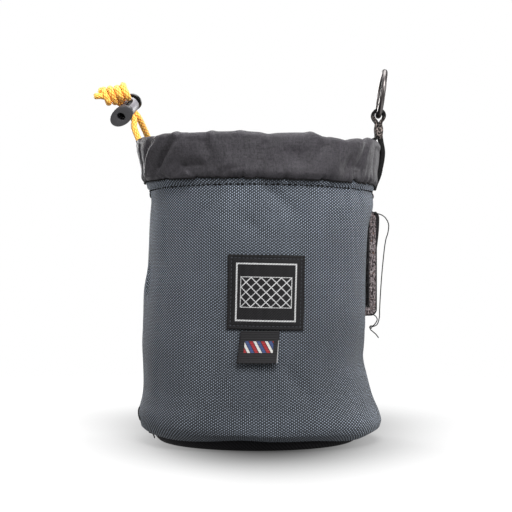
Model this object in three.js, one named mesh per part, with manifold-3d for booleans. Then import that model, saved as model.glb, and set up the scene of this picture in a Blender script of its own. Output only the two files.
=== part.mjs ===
// A drawstring tool pouch that stands on its base: a hollow cloth body, a doubled collar with a drawcord,
// a spring cord lock, a hanging ring on a webbing strap, a belt loop and a front label.
// Millimetres, +Z up, origin at the middle of the base's underside. The label faces -Y.
import * as THREE from "three";
import { mergeVertices } from "three/addons/utils/BufferGeometryUtils.js";
import Module from "manifold-3d";

const wasm = await Module();
wasm.setup();

// Driving dimensions
const GAP = 0.3; // clearance between pieces that touch
const BODY_CLOTH = 1.6; // thickness of the body cloth
const COLLAR_CLOTH = 1.2; // thickness of one layer of the collar
const SEAM_HEIGHT = 146; // lower edge of the collar, sewn round the body
const TUCK_HEIGHT = 151; // upper edge of the body, between the collar's layers
const RIM_HEIGHT = 170; // top of the collar's fold
const FOLD_RADIUS = 3.5; // outside radius of the fold at the rim
const INNER_HEM = 143.5; // lower edge of the collar's inner layer
const BASE_RADIUS = 58; // side of the base
const BASE_WALL = 2; // thickness of the base
const BASE_RIM = 11; // upper edge of the base, inside the body
const BASE_ROUND = 6; // radius of the base's lower edge
const SQUARENESS = 0.2; // how much squarer than an ellipse the body is
const ROUND_RISE = 8; // height over which the round hem becomes the squarer body
const LINING_ROOM = 2; // from the body's outside to the collar's inner layer
const AROUND = 44; // facets round the pouch

// Outside of the body: half widths to each side, and the distance of the flat behind the belt loop
const NO_FLAT = 90;
const BELT_FLAT = 55.4;
const TOP_FLAT = 59; // at the loop's upper end
const BODY_ROWS = [
  { z: 5.2, left: 58.35, right: 58.35, front: 58.35, back: 58.35, flat: NO_FLAT },
  { z: 5.9, left: 61.6, right: 64.0, front: 62.8, back: 62.8, flat: NO_FLAT },
  { z: 8.5, left: 64.4, right: 69.4, front: 66.0, back: 65.8, flat: NO_FLAT },
  { z: 12.5, left: 66.3, right: 70.9, front: 67.0, back: 66.8, flat: NO_FLAT },
  { z: 18, left: 67.4, right: 68.8, front: 66.2, back: 66.2, flat: NO_FLAT },
  { z: 25, left: 64.9, right: 65.4, front: 64.6, back: 64.8, flat: NO_FLAT },
  { z: 34, left: 64.4, right: 63.0, front: 63.6, back: 64.0, flat: NO_FLAT },
  { z: 46, left: 64.7, right: 59.9, front: 63.0, back: 63.6, flat: NO_FLAT },
  { z: 56, left: 65.1, right: 60.8, front: 62.7, back: 63.4, flat: 66 },
  { z: 64, left: 64.4, right: 62.4, front: 62.6, back: 63.2, flat: 59.5 },
  { z: 69, left: 64.0, right: 63.4, front: 62.5, back: 63.0, flat: BELT_FLAT },
  { z: 86, left: 63.9, right: 64.0, front: 62.3, back: 62.8, flat: BELT_FLAT },
  { z: 97, left: 61.6, right: 64.2, front: 62.2, back: 62.6, flat: BELT_FLAT },
  { z: 121, left: 60.8, right: 65.4, front: 62.1, back: 62.3, flat: BELT_FLAT },
  { z: 128.5, left: 60.5, right: 66.2, front: 62.0, back: 62.2, flat: TOP_FLAT },
  { z: 132, left: 60.0, right: 66.8, front: 62.0, back: 62.2, flat: 64.5 },
  { z: 137.5, left: 59.4, right: 64.6, front: 61.6, back: 61.8, flat: NO_FLAT },
  { z: 142.5, left: 61.6, right: 65.2, front: 61.8, back: 62.0, flat: NO_FLAT },
  { z: SEAM_HEIGHT, left: 62.5, right: 66.0, front: 62.6, back: 62.6, flat: NO_FLAT },
  { z: TUCK_HEIGHT, left: 62.5, right: 66.0, front: 62.6, back: 62.6, flat: NO_FLAT },
];
const FLAT_ANGLE = 14; // direction the flat behind the belt loop faces, degrees from +X
const FLAT_SOFTNESS = 5; // how gently the flat runs into the round wall
const FLAT_REACH = 72; // degrees to each side that the flat can reach

// Soft dents of the body: direction in degrees, height, half spread in degrees, half height, depth
const BODY_DENTS = [
  { angle: 197, z: 84, spread: 7, rise: 16, depth: 2.2 },
  { angle: 305, z: 40, spread: 16, rise: 16, depth: 1.6 },
  { angle: 235, z: 118, spread: 14, rise: 20, depth: 1.0 },
  { angle: 75, z: 52, spread: 20, rise: 22, depth: 2.0 },
  { angle: 128, z: 100, spread: 18, rise: 22, depth: 1.8 },
  { angle: 160, z: 42, spread: 12, rise: 16, depth: 1.4 },
];

// Outside of the collar, from its seam to below the rim's fold
const COLLAR_ROWS = [
  { z: SEAM_HEIGHT, left: 64.0, right: 67.5, front: 64.1, back: 64.1 },
  { z: 151, left: 64.5, right: 68.4, front: 65.2, back: 65.2 },
  { z: 157.5, left: 66.3, right: 69.7, front: 66.2, back: 66.2 },
  { z: 163, left: 67.8, right: 70.2, front: 66.4, back: 66.4 },
];

// Waves of the rim: direction in degrees, half spread in degrees, drop
const RIM_DIPS = [
  { angle: 213, spread: 6, drop: 1.2 },
  { angle: 280, spread: 11, drop: 2.1 },
  { angle: 316, spread: 17, drop: 3.8 },
  { angle: 356, spread: 13, drop: 2.0 },
  { angle: 45, spread: 14, drop: 2.4 },
  { angle: 92, spread: 11, drop: 1.4 },
  { angle: 138, spread: 13, drop: 2.2 },
];

// Drawcord and cord lock
const CORD = 3.5; // diameter
const CORD_SIDES = 8;
const END_STEPS = 20; // steps along each free end
const EXIT_ANGLE = { a: 186, b: 162 }; // where each end leaves the channel
const CHANNEL_LEAD = 9; // degrees of channel that each end runs in before it turns up
const LOOP_END_GAP = 0.4; // degrees between the held loop and each end
const EXIT_CLEARANCE = 0.45; // round the cord where it leaves the collar
const LOCK_MIDDLE = new THREE.Vector3(-73.2, -2, 187.3);
const LOCK_AXIS = new THREE.Vector3(0.32, 0.776, 0.544).normalize(); // from foot to head
const LOCK_HOLE = new THREE.Vector3(-0.6, -0.1, 0.79).projectOnPlane(LOCK_AXIS).normalize(); // the cord's way
const LOCK_LENGTH = 19.2;
const LOCK_TRAVEL = 2.2;
const FOOT = { length: 17.4, width: 10.2, thickness: 2.2, turn: 88, hole: 2.4 };
const BARREL = { radius: 4.7, bore: 3.45, start: 2, end: 15 }; // it starts inside the foot
const PLUNGER = { stem: 3.15, head: 5, headThickness: 1.7, bridge: 1.2, bevel: 0.6 };
const CORD_PITCH = CORD + 0.2; // distance between the two ends in the lock
const ENTRY = { run: 6.6, spread: 0.5 }; // where the ends come together before the lock
const EXIT_RUN = 5.3; // how far past the lock's middle each end meets the knot
const SLOT_WIDTH = CORD + 0.6;
const WINDOW = { width: 2.4, low: 6.4, high: 12.4 }; // side windows of the barrel

// Way of each end from the channel's exit up to the lock
const END_ROUTE = {
  a: [
    { x: -65.9, y: -6.0, z: 168.3 },
    { x: -67.7, y: -4.8, z: 172.2 },
    { x: -69.4, y: -3.9, z: 176.8 },
  ],
  b: [
    { x: -62.0, y: 17.2, z: 168.6 },
    { x: -62.9, y: 14.2, z: 172.4 },
    { x: -64.8, y: 8.6, z: 177.2 },
  ],
};

// Knot
const KNOT_START = new THREE.Vector3(-74, -7.6, 196.2);
const KNOT_AXIS = new THREE.Vector3(-1, 0, -0.25).normalize();
const KNOT = { turns: 2.6, pitch: 3.9, radius: 3.6, length: 11 };
const KNOT_TAILS = [
  { out: 3.0, up: 4.6, forward: 0.6 },
  { out: 6.2, up: 3.4, forward: 1.4 },
];

// Hanging strap and ring
const STRAP = { width: 8, thickness: 1.8 };
const STRAP_OUTSIDE = [
  { x: 69.4, z: 148.5 },
  { x: 70.4, z: 153 },
  { x: 71.3, z: 158 },
  { x: 71.7, z: 163 },
  { x: 71.3, z: 168 },
  { x: 70.3, z: 172.5 },
  { x: 69.9, z: 176.2 },
  { x: 70.6, z: 178.8 },
];
const STRAP_INSIDE = [
  { x: 67.0, z: 178.8 },
  { x: 67.7, z: 176.2 },
  { x: 66.9, z: 172.5 },
  { x: 63.6, z: 169.8 },
  { x: 61.9, z: 166 },
  { x: 61.8, z: 161 },
  { x: 61.4, z: 155.5 },
  { x: 61.0, z: 150.5 },
];
const STRAP_LOOP = { from: -38, to: 218, step: 32 }; // degrees round the ring's wire
const RING = { radius: 12.6, wire: 1.5, lean: 8 };
const RING_SEAT = { x: 68.8, z: 183.4, hole: 2.5 }; // where the ring's wire lies in the strap

// Belt loop, measured from the axis along the direction of its flat
const LOOP = { low: 70, high: 128.5, outside: 67.3, thickness: 5.2, width: 26, round: 5, edge: 0.9 };

// Label and tab on the front
const LABEL = { width: 40.4, height: 39.6, thickness: 0.9, x: 4.6, z: 84.8, turn: 1.2 };
const TAB = { width: 20.6, height: 17, thickness: 0.9, x: 1.6, shift: -1.6, lift: 2.0 };

const radians = THREE.MathUtils.degToRad;

// Distance between two directions, in degrees, from -180 to 180
function turnBetween(angle, other) {
  return ((((angle - other + 180) % 360) + 360) % 360) - 180;
}

// One row of a table at height z, between its neighbours
function rowAt(rows, z) {
  const next = Math.max(1, rows.findIndex((row) => row.z >= z));
  const low = rows[next - 1];
  const high = rows[next];
  const share = THREE.MathUtils.clamp((z - low.z) / (high.z - low.z), 0, 1);
  const mixed = {};
  for (const key of Object.keys(low)) mixed[key] = THREE.MathUtils.lerp(low[key], high[key], share);
  return mixed;
}

// Radius of a rounded section with its own half width to each side
function sectionRadius(row, angle, power) {
  const c = Math.cos(radians(angle));
  const s = Math.sin(radians(angle));
  const across = Math.abs(c) / (c > 0 ? row.right : row.left);
  const along = Math.abs(s) / (s > 0 ? row.back : row.front);
  return (across ** power + along ** power) ** (-1 / power);
}

function softMin(a, b, softness) {
  const near = Math.max(softness - Math.abs(a - b), 0) / softness;
  return Math.min(a, b) - (near * near * softness) / 4;
}

function dentDepth(angle, z) {
  let depth = 0;
  for (const dent of BODY_DENTS) {
    const across = turnBetween(angle, dent.angle) / dent.spread;
    const up = (z - dent.z) / dent.rise;
    depth += dent.depth * Math.exp(-across * across - up * up);
  }
  return depth;
}

// Radius of the body's outside; it is a true circle at the base
function bodyRadius(angle, z) {
  const row = rowAt(BODY_ROWS, z);
  const rise = THREE.MathUtils.clamp((z - BODY_ROWS[0].z) / ROUND_RISE, 0, 1);
  const round = sectionRadius(row, angle, 2 + SQUARENESS * rise) - dentDepth(angle, z) * rise;
  const turn = turnBetween(angle, FLAT_ANGLE);
  if (Math.abs(turn) > FLAT_REACH) return round;
  return softMin(round, row.flat / Math.cos(radians(turn)), FLAT_SOFTNESS);
}

function rimDrop(angle) {
  let drop = 0;
  for (const dip of RIM_DIPS) {
    const across = turnBetween(angle, dip.angle) / dip.spread;
    drop += dip.drop * Math.exp(-across * across);
  }
  return drop;
}

// Middle of the rim's fold, where the drawcord runs
function foldMiddle(angle) {
  const row = COLLAR_ROWS[COLLAR_ROWS.length - 1];
  return {
    r: sectionRadius(row, angle, 2 + SQUARENESS) - FOLD_RADIUS,
    z: RIM_HEIGHT - rimDrop(angle) - FOLD_RADIUS,
  };
}

function polar(angle, r, z) {
  return new THREE.Vector3(r * Math.cos(radians(angle)), r * Math.sin(radians(angle)), z);
}

// A sheet of even thickness from a grid of points. The rows run up and the points along a row
// run counterclockwise, so the face that is seen looks outwards. lift moves the sheet out of the grid.
function thickSheet(rows, thickness, { closed = false, lift = 0 } = {}) {
  const count = rows.length;
  const across = rows[0].length;
  const step = (j) => (closed ? (j + across) % across : THREE.MathUtils.clamp(j, 0, across - 1));
  const points = [[], []];
  for (let i = 0; i < count; i++) {
    for (let j = 0; j < across; j++) {
      const along = rows[i][step(j + 1)].clone().sub(rows[i][step(j - 1)]);
      const up = rows[Math.min(i + 1, count - 1)][j].clone().sub(rows[Math.max(i - 1, 0)][j]);
      const normal = along.cross(up).normalize();
      points[0].push(rows[i][j].clone().addScaledVector(normal, lift));
      points[1].push(rows[i][j].clone().addScaledVector(normal, lift - thickness));
    }
  }
  const index = [];
  const inner = count * across;
  const at = (i, j) => i * across + step(j);
  const quad = (a, b, c, d) => index.push(a, b, c, a, c, d);
  const columns = closed ? across : across - 1;
  for (let j = 0; j < columns; j++) {
    for (let i = 0; i < count - 1; i++) {
      quad(at(i, j), at(i, j + 1), at(i + 1, j + 1), at(i + 1, j));
      quad(inner + at(i, j), inner + at(i + 1, j), inner + at(i + 1, j + 1), inner + at(i, j + 1));
    }
    const top = count - 1;
    quad(at(0, j), inner + at(0, j), inner + at(0, j + 1), at(0, j + 1));
    quad(at(top, j), at(top, j + 1), inner + at(top, j + 1), inner + at(top, j));
  }
  if (!closed) {
    const last = across - 1;
    for (let i = 0; i < count - 1; i++) {
      quad(at(i, 0), at(i + 1, 0), inner + at(i + 1, 0), inner + at(i, 0));
      quad(at(i, last), inner + at(i, last), inner + at(i + 1, last), at(i + 1, last));
    }
  }
  const geometry = new THREE.BufferGeometry().setFromPoints([...points[0], ...points[1]]);
  geometry.setIndex(index);
  return geometry;
}

function roundSection(radius, sides) {
  const points = [];
  for (let k = 0; k < sides; k++) {
    const turn = (2 * Math.PI * k) / sides;
    points.push(new THREE.Vector2(radius * Math.cos(turn), radius * Math.sin(turn)));
  }
  return new THREE.Shape(points);
}

function tubeAlong(curve, radius, steps) {
  return new THREE.ExtrudeGeometry(roundSection(radius, CORD_SIDES), { steps, extrudePath: curve });
}

function solidOf(geometry) {
  const bare = geometry.clone();
  bare.deleteAttribute("normal");
  bare.deleteAttribute("uv");
  const merged = mergeVertices(bare, 1e-4);
  return new wasm.Manifold(
    new wasm.Mesh({
      numProp: 3,
      vertProperties: merged.attributes.position.array,
      triVerts: new Uint32Array(merged.index.array),
    }),
  );
}

function geometryOf(solid) {
  const mesh = solid.getMesh();
  const geometry = new THREE.BufferGeometry();
  geometry.setAttribute("position", new THREE.BufferAttribute(new Float32Array(mesh.vertProperties), 3));
  geometry.setIndex(new THREE.BufferAttribute(new Uint32Array(mesh.triVerts), 1));
  return geometry;
}

// Materials
const cloth = (color, roughness) => new THREE.MeshStandardMaterial({ color, roughness, metalness: 0 });
const bodyCloth = cloth(0x52565e, 0.9);
const collarCloth = cloth(0x3c3b40, 0.7);
const baseCloth = cloth(0x0d0d0e, 0.75);
const cordBraid = cloth(0xf0b545, 0.7);
const webbing = cloth(0x1a1a1c, 0.85);
const loopWebbing = cloth(0x4a4244, 0.9);
const labelCloth = cloth(0x151517, 0.8);
const lockPlastic = cloth(0x3a3a3c, 0.45);
const plungerPlastic = cloth(0x101011, 0.4);
const ringMetal = new THREE.MeshStandardMaterial({ color: 0x4a4a4c, roughness: 0.3, metalness: 1 });

const pouch = new THREE.Group();

function addPiece(name, geometry, material, parent = pouch) {
  const mesh = new THREE.Mesh(geometry, material);
  mesh.name = name;
  parent.add(mesh);
  return mesh;
}

const directions = Array.from({ length: AROUND }, (_, k) => (360 * k) / AROUND);

// Body: a tube of cloth that turns under onto the base
function bodyWall() {
  const rows = BODY_ROWS.map(({ z }) => directions.map((angle) => polar(angle, bodyRadius(angle, z), z)));
  return thickSheet(rows, BODY_CLOTH, { closed: true });
}

// Base: a flat-bottomed dish whose rim stands inside the body's hem
function basePanel() {
  const profile = [new THREE.Vector2(0, 0)];
  const corner = (radius, height, round, fromFloor) => {
    for (let k = 0; k <= 2; k++) {
      const turn = (fromFloor ? k : 2 - k) * (Math.PI / 4);
      profile.push(
        new THREE.Vector2(radius - round + round * Math.sin(turn), height + round - round * Math.cos(turn)),
      );
    }
  };
  corner(BASE_RADIUS, 0, BASE_ROUND, true);
  profile.push(new THREE.Vector2(BASE_RADIUS, BASE_RIM));
  profile.push(new THREE.Vector2(BASE_RADIUS - BASE_WALL, BASE_RIM));
  corner(BASE_RADIUS - BASE_WALL, BASE_WALL, BASE_ROUND - BASE_WALL, false);
  profile.push(new THREE.Vector2(0, BASE_WALL));
  return new THREE.LatheGeometry(profile, AROUND).rotateX(Math.PI / 2);
}

// Collar: up the outside, over the rim's fold and down the inside of the body
function collarProfile(angle) {
  const drop = rimDrop(angle);
  const fold = foldMiddle(angle);
  const top = COLLAR_ROWS[COLLAR_ROWS.length - 1].z;
  const points = COLLAR_ROWS.map((row) => {
    const share = (row.z - SEAM_HEIGHT) / (top - SEAM_HEIGHT);
    return polar(angle, sectionRadius(row, angle, 2 + SQUARENESS), row.z - drop * share);
  });
  for (const turn of [30, 60, 90, 120, 150, 180]) {
    const r = fold.r + FOLD_RADIUS * Math.cos(radians(turn));
    points.push(polar(angle, r, fold.z + FOLD_RADIUS * Math.sin(radians(turn))));
  }
  const inside = (z) => bodyRadius(angle, z) - LINING_ROOM - GAP - COLLAR_CLOTH;
  const middle = (fold.r - FOLD_RADIUS + inside(TUCK_HEIGHT)) / 2;
  points.push(polar(angle, middle, (fold.z + TUCK_HEIGHT) / 2));
  for (const z of [TUCK_HEIGHT, SEAM_HEIGHT, INNER_HEM]) points.push(polar(angle, inside(z), z));
  return points;
}

function collarSheet() {
  const profiles = directions.map(collarProfile);
  const rows = profiles[0].map((_, i) => profiles.map((points) => points[i]));
  return thickSheet(rows, COLLAR_CLOTH, { closed: true });
}

// Drawcord: the held loop, and each end's way out of the channel, through the lock and to the knot
const lockOffset = { a: -CORD_PITCH / 2, b: CORD_PITCH / 2 };
const knotSide = LOCK_AXIS.clone().projectOnPlane(KNOT_AXIS).normalize();

function channelPoint(angle) {
  const fold = foldMiddle(angle);
  return polar(angle, fold.r, fold.z);
}

function lockPoint(end, along, spread = 0) {
  const offset = lockOffset[end] + spread * Math.sign(lockOffset[end]);
  return LOCK_MIDDLE.clone().addScaledVector(LOCK_AXIS, offset).addScaledVector(LOCK_HOLE, along);
}

function endCurve(end) {
  const lead = end === "a" ? CHANNEL_LEAD : -CHANNEL_LEAD;
  return new THREE.CatmullRomCurve3([
    channelPoint(EXIT_ANGLE[end] + lead),
    channelPoint(EXIT_ANGLE[end] + lead / 2),
    ...END_ROUTE[end].map(({ x, y, z }) => new THREE.Vector3(x, y, z)),
    lockPoint(end, -ENTRY.run, ENTRY.spread),
    lockPoint(end, 0),
    lockPoint(end, EXIT_RUN),
  ]);
}
const endCurves = { a: endCurve("a"), b: endCurve("b") };

function drawcordLoop() {
  const from = EXIT_ANGLE.a + CHANNEL_LEAD + LOOP_END_GAP;
  const to = EXIT_ANGLE.b - CHANNEL_LEAD - LOOP_END_GAP + 360;
  const steps = 32;
  const points = [];
  for (let k = 0; k <= steps; k++) points.push(channelPoint(THREE.MathUtils.lerp(from, to, k / steps)));
  return tubeAlong(new THREE.CatmullRomCurve3(points), CORD / 2, steps);
}

// Knot: both ends run from the lock through it side by side, wrapped by the turns that hold them
function cordKnot() {
  const out = KNOT_AXIS;
  const side = knotSide;
  const up = new THREE.Vector3().crossVectors(side, out).normalize();
  const place = (along, across, height) =>
    KNOT_START.clone().addScaledVector(out, along).addScaledVector(side, across).addScaledVector(up, height);
  const wraps = [];
  const wrapSteps = 24;
  for (let k = 0; k <= wrapSteps; k++) {
    const turn = 2 * Math.PI * KNOT.turns * (k / wrapSteps) + Math.PI / 3;
    const along = CORD / 2 + (KNOT.turns * KNOT.pitch * k) / wrapSteps;
    wraps.push(place(along, KNOT.radius * Math.cos(turn), KNOT.radius * Math.sin(turn)));
  }
  let knot = solidOf(tubeAlong(new THREE.CatmullRomCurve3(wraps), CORD / 2, wrapSteps));
  KNOT_TAILS.forEach((tail, k) => {
    const end = k ? "a" : "b";
    const across = lockOffset[end];
    const route = [
      lockPoint(end, EXIT_RUN + GAP),
      lockPoint(end, EXIT_RUN + CORD / 2),
      place(KNOT.length / 2, across, 0),
      place(KNOT.length, across, tail.up / 4),
      place(KNOT.length + tail.out / 2, across - tail.forward / 3, tail.up * 0.7),
      place(KNOT.length + tail.out, across - tail.forward, tail.up),
    ];
    knot = knot.add(solidOf(tubeAlong(new THREE.CatmullRomCurve3(route), CORD / 2, 9)));
  });
  return geometryOf(knot);
}

// Cord lock, in its own frame: X along the cord, Z from the foot to the head
const lockFrame = new THREE.Group();
lockFrame.matrixAutoUpdate = false;
lockFrame.matrix
  .makeBasis(LOCK_HOLE, new THREE.Vector3().crossVectors(LOCK_AXIS, LOCK_HOLE), LOCK_AXIS)
  .setPosition(LOCK_MIDDLE.clone().addScaledVector(LOCK_AXIS, -LOCK_LENGTH / 2));
pouch.add(lockFrame);
const cordLow = LOCK_LENGTH / 2 - CORD_PITCH / 2 - CORD / 2 - GAP; // clear of the cord, towards the foot
const cordHigh = LOCK_LENGTH / 2 + CORD_PITCH / 2 + CORD / 2 + GAP;

function slotCutter(width, low, high) {
  const long = high - low;
  const half = width / 2;
  const outline = new THREE.Shape();
  outline.absarc(0, half, half, Math.PI, 2 * Math.PI);
  outline.absarc(0, long - half, half, 0, Math.PI);
  const reach = 2 * FOOT.length;
  const slot = new THREE.ExtrudeGeometry(outline, { depth: reach, bevelEnabled: false, curveSegments: 4 });
  slot.translate(0, 0, -reach / 2);
  slot.rotateX(Math.PI / 2);
  slot.rotateZ(Math.PI / 2);
  return slot.translate(0, 0, low);
}

function lathe(pairs, sides) {
  const profile = pairs.map(([r, z]) => new THREE.Vector2(r, z));
  return new THREE.LatheGeometry(profile, sides).rotateX(Math.PI / 2);
}

function lockBarrel() {
  const foot = new THREE.Shape();
  foot.absellipse(0, 0, FOOT.length / 2, FOOT.width / 2, 0, 2 * Math.PI);
  const hole = new THREE.Path();
  hole.absarc(0, 0, FOOT.hole, 0, 2 * Math.PI, true);
  foot.holes.push(hole);
  const plate = new THREE.ExtrudeGeometry(foot, {
    depth: FOOT.thickness,
    bevelEnabled: false,
    curveSegments: 12,
  });
  plate.rotateZ(radians(FOOT.turn));
  const tube = lathe(
    [
      [BARREL.bore, BARREL.start],
      [BARREL.radius, BARREL.start],
      [BARREL.radius, BARREL.end],
      [BARREL.bore, BARREL.end],
      [BARREL.bore, BARREL.start],
    ],
    20,
  );
  const windows = slotCutter(WINDOW.width, WINDOW.low, WINDOW.high).rotateZ(Math.PI / 2);
  const barrel = solidOf(plate).add(solidOf(tube)).subtract(solidOf(windows));
  return geometryOf(barrel.subtract(solidOf(slotCutter(SLOT_WIDTH, cordLow, cordHigh))));
}

function lockPlunger() {
  const low = cordLow - PLUNGER.bridge;
  const under = LOCK_LENGTH - PLUNGER.headThickness;
  const body = lathe(
    [
      [0, low],
      [PLUNGER.stem, low],
      [PLUNGER.stem, under],
      [PLUNGER.head, under],
      [PLUNGER.head, LOCK_LENGTH - PLUNGER.bevel],
      [PLUNGER.head - PLUNGER.bevel, LOCK_LENGTH],
      [0, LOCK_LENGTH],
    ],
    20,
  );
  return geometryOf(solidOf(body).subtract(solidOf(slotCutter(SLOT_WIDTH, cordLow, cordHigh + LOCK_TRAVEL))));
}

// Hanging strap: up the outside of the collar, round the ring's wire and down the inside
function hangStrap() {
  const radius = RING_SEAT.hole + STRAP.thickness / 2;
  const loop = [];
  for (let turn = STRAP_LOOP.from; turn <= STRAP_LOOP.to; turn += STRAP_LOOP.step) {
    loop.push({
      x: RING_SEAT.x + radius * Math.cos(radians(turn)),
      z: RING_SEAT.z + radius * Math.sin(radians(turn)),
    });
  }
  const route = [...STRAP_OUTSIDE, ...loop, ...STRAP_INSIDE];
  const curve = new THREE.CatmullRomCurve3(route.map(({ x, z }) => new THREE.Vector3(x, 0, z)));
  const rows = curve.getPoints(44).map((p) => [
    new THREE.Vector3(p.x, -STRAP.width / 2, p.z),
    new THREE.Vector3(p.x, STRAP.width / 2, p.z),
  ]);
  return thickSheet(rows, STRAP.thickness, { lift: STRAP.thickness / 2 });
}

// Belt loop: a thick band that stands off the flat and is sewn down at both ends
function beltLoop() {
  const { low, high, outside, thickness, width, round, edge } = LOOP;
  const seat = BELT_FLAT + GAP + edge;
  const topSeat = TOP_FLAT + GAP + edge;
  const out = outside - edge;
  const bottom = low + edge;
  const top = high - edge;
  const band = thickness - 2 * edge;
  const outline = new THREE.Shape();
  outline.moveTo(seat, bottom);
  outline.lineTo(out - round, bottom);
  outline.absarc(out - round, bottom + round, round, -Math.PI / 2, 0);
  outline.lineTo(out, top - round);
  outline.absarc(out - round, top - round, round, 0, Math.PI / 2);
  outline.lineTo(topSeat, top);
  outline.lineTo(topSeat - (band + edge) / 2, top - band);
  outline.lineTo(out - round, top - band);
  outline.absarc(out - round, top - round, round - band, Math.PI / 2, 0, true);
  outline.lineTo(out - band, bottom + round);
  outline.absarc(out - round, bottom + round, round - band, 0, -Math.PI / 2, true);
  outline.lineTo(seat, bottom + band);
  const shape = new THREE.ExtrudeGeometry(outline, {
    depth: width - 2 * edge,
    bevelEnabled: true,
    bevelSize: edge,
    bevelThickness: edge,
    bevelSegments: 1,
    curveSegments: 4,
  });
  shape.translate(0, 0, edge - width / 2);
  shape.rotateX(Math.PI / 2);
  return shape.rotateZ(radians(FLAT_ANGLE));
}

// A point over the front wall, at a distance x round it from the middle
function frontPoint(x, z, out) {
  const angle = 270 + THREE.MathUtils.radToDeg(x / rowAt(BODY_ROWS, z).front);
  return polar(angle, bodyRadius(angle, z) + out, z);
}

function labelPatch() {
  const rows = [];
  const turn = radians(LABEL.turn);
  for (let i = 0; i <= 4; i++) {
    const up = LABEL.height * (i / 4 - 0.5);
    rows.push(
      Array.from({ length: 9 }, (_, j) => {
        const across = LABEL.width * (j / 8 - 0.5);
        const x = LABEL.x + across * Math.cos(turn) + up * Math.sin(turn);
        const z = LABEL.z + up * Math.cos(turn) - across * Math.sin(turn);
        return frontPoint(x, z, GAP + LABEL.thickness);
      }),
    );
  }
  return thickSheet(rows, LABEL.thickness);
}

function labelTab() {
  const rows = [];
  const top = LABEL.z - LABEL.height / 2 - 2 * GAP;
  for (let i = 0; i <= 5; i++) {
    const down = 1 - i / 5;
    rows.push(
      Array.from({ length: 5 }, (_, j) => {
        const x = TAB.x + TAB.shift * down + TAB.width * (j / 4 - 0.5);
        return frontPoint(x, top - TAB.height * down, GAP + TAB.thickness + TAB.lift * down * down);
      }),
    );
  }
  return thickSheet(rows, TAB.thickness);
}

addPiece("body_wall", bodyWall(), bodyCloth);
addPiece("base_panel", basePanel(), baseCloth);

// The collar is opened where the cord's ends come out
let collar = solidOf(collarSheet());
for (const end of ["a", "b"]) {
  collar = collar.subtract(solidOf(tubeAlong(endCurves[end], CORD / 2 + EXIT_CLEARANCE, END_STEPS)));
}
addPiece("collar", geometryOf(collar), collarCloth);

addPiece("drawcord_loop", drawcordLoop(), cordBraid);
addPiece("drawcord_end_a", tubeAlong(endCurves.a, CORD / 2, END_STEPS), cordBraid);
addPiece("drawcord_end_b", tubeAlong(endCurves.b, CORD / 2, END_STEPS), cordBraid);
addPiece("cord_knot", cordKnot(), cordBraid);
addPiece("lock_barrel", lockBarrel(), lockPlastic, lockFrame);
addPiece("lock_plunger", lockPlunger(), plungerPlastic, lockFrame);
addPiece("hang_strap", hangStrap(), webbing);

// Ring: it stands in the strap's loop and leans outwards
const ring = addPiece("hang_ring", new THREE.TorusGeometry(RING.radius, RING.wire, 9, 24), ringMetal);
const ringLean = radians(RING.lean);
ring.rotation.set(0, Math.PI / 2 + ringLean, 0);
ring.position.set(
  RING_SEAT.x + RING.radius * Math.sin(ringLean),
  0,
  RING_SEAT.z + RING.radius * Math.cos(ringLean),
);

addPiece("belt_loop", beltLoop(), loopWebbing);
addPiece("label_patch", labelPatch(), labelCloth);
addPiece("label_tab", labelTab(), labelCloth);

export default pouch;
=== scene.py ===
import math
import random

import bmesh
import bpy
import numpy as np
from mathutils import Matrix, Vector
from mathutils.bvhtree import BVHTree


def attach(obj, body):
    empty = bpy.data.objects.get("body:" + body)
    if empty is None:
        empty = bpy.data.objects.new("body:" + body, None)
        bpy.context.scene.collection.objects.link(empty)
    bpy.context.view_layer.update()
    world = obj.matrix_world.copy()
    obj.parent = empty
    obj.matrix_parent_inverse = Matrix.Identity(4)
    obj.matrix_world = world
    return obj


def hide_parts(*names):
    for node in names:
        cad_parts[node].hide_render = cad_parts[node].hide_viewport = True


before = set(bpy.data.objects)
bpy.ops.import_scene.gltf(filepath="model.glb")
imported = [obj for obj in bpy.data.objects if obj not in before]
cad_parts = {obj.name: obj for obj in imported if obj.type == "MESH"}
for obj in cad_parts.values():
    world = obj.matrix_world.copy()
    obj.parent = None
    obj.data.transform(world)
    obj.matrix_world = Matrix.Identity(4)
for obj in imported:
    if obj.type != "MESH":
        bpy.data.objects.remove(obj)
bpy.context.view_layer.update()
mm = 0.001  # lengths below are in millimetres, meshes in metres
scene = bpy.context.scene
print("frame loaded:", len(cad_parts), "nodes")

# Camera, as far off and as high as the photograph's
cameraSetup = {"distance": 880, "height": 104, "sideways": -0.57, "mmPerPixel": 0.567, "pixels": 512}


def addCamera(setup):
    data = bpy.data.cameras.new("photoCamera")
    data.sensor_fit = "HORIZONTAL"
    data.angle = 2 * math.atan(setup["pixels"] / 2 * setup["mmPerPixel"] / setup["distance"])
    data.clip_end = 20
    camera = bpy.data.objects.new("photoCamera", data)
    scene.collection.objects.link(camera)
    camera.location = (setup["sideways"] * mm, -setup["distance"] * mm, setup["height"] * mm)
    camera.rotation_euler = (math.pi / 2, 0, 0)
    scene.camera = camera


addCamera(cameraSetup)


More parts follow.
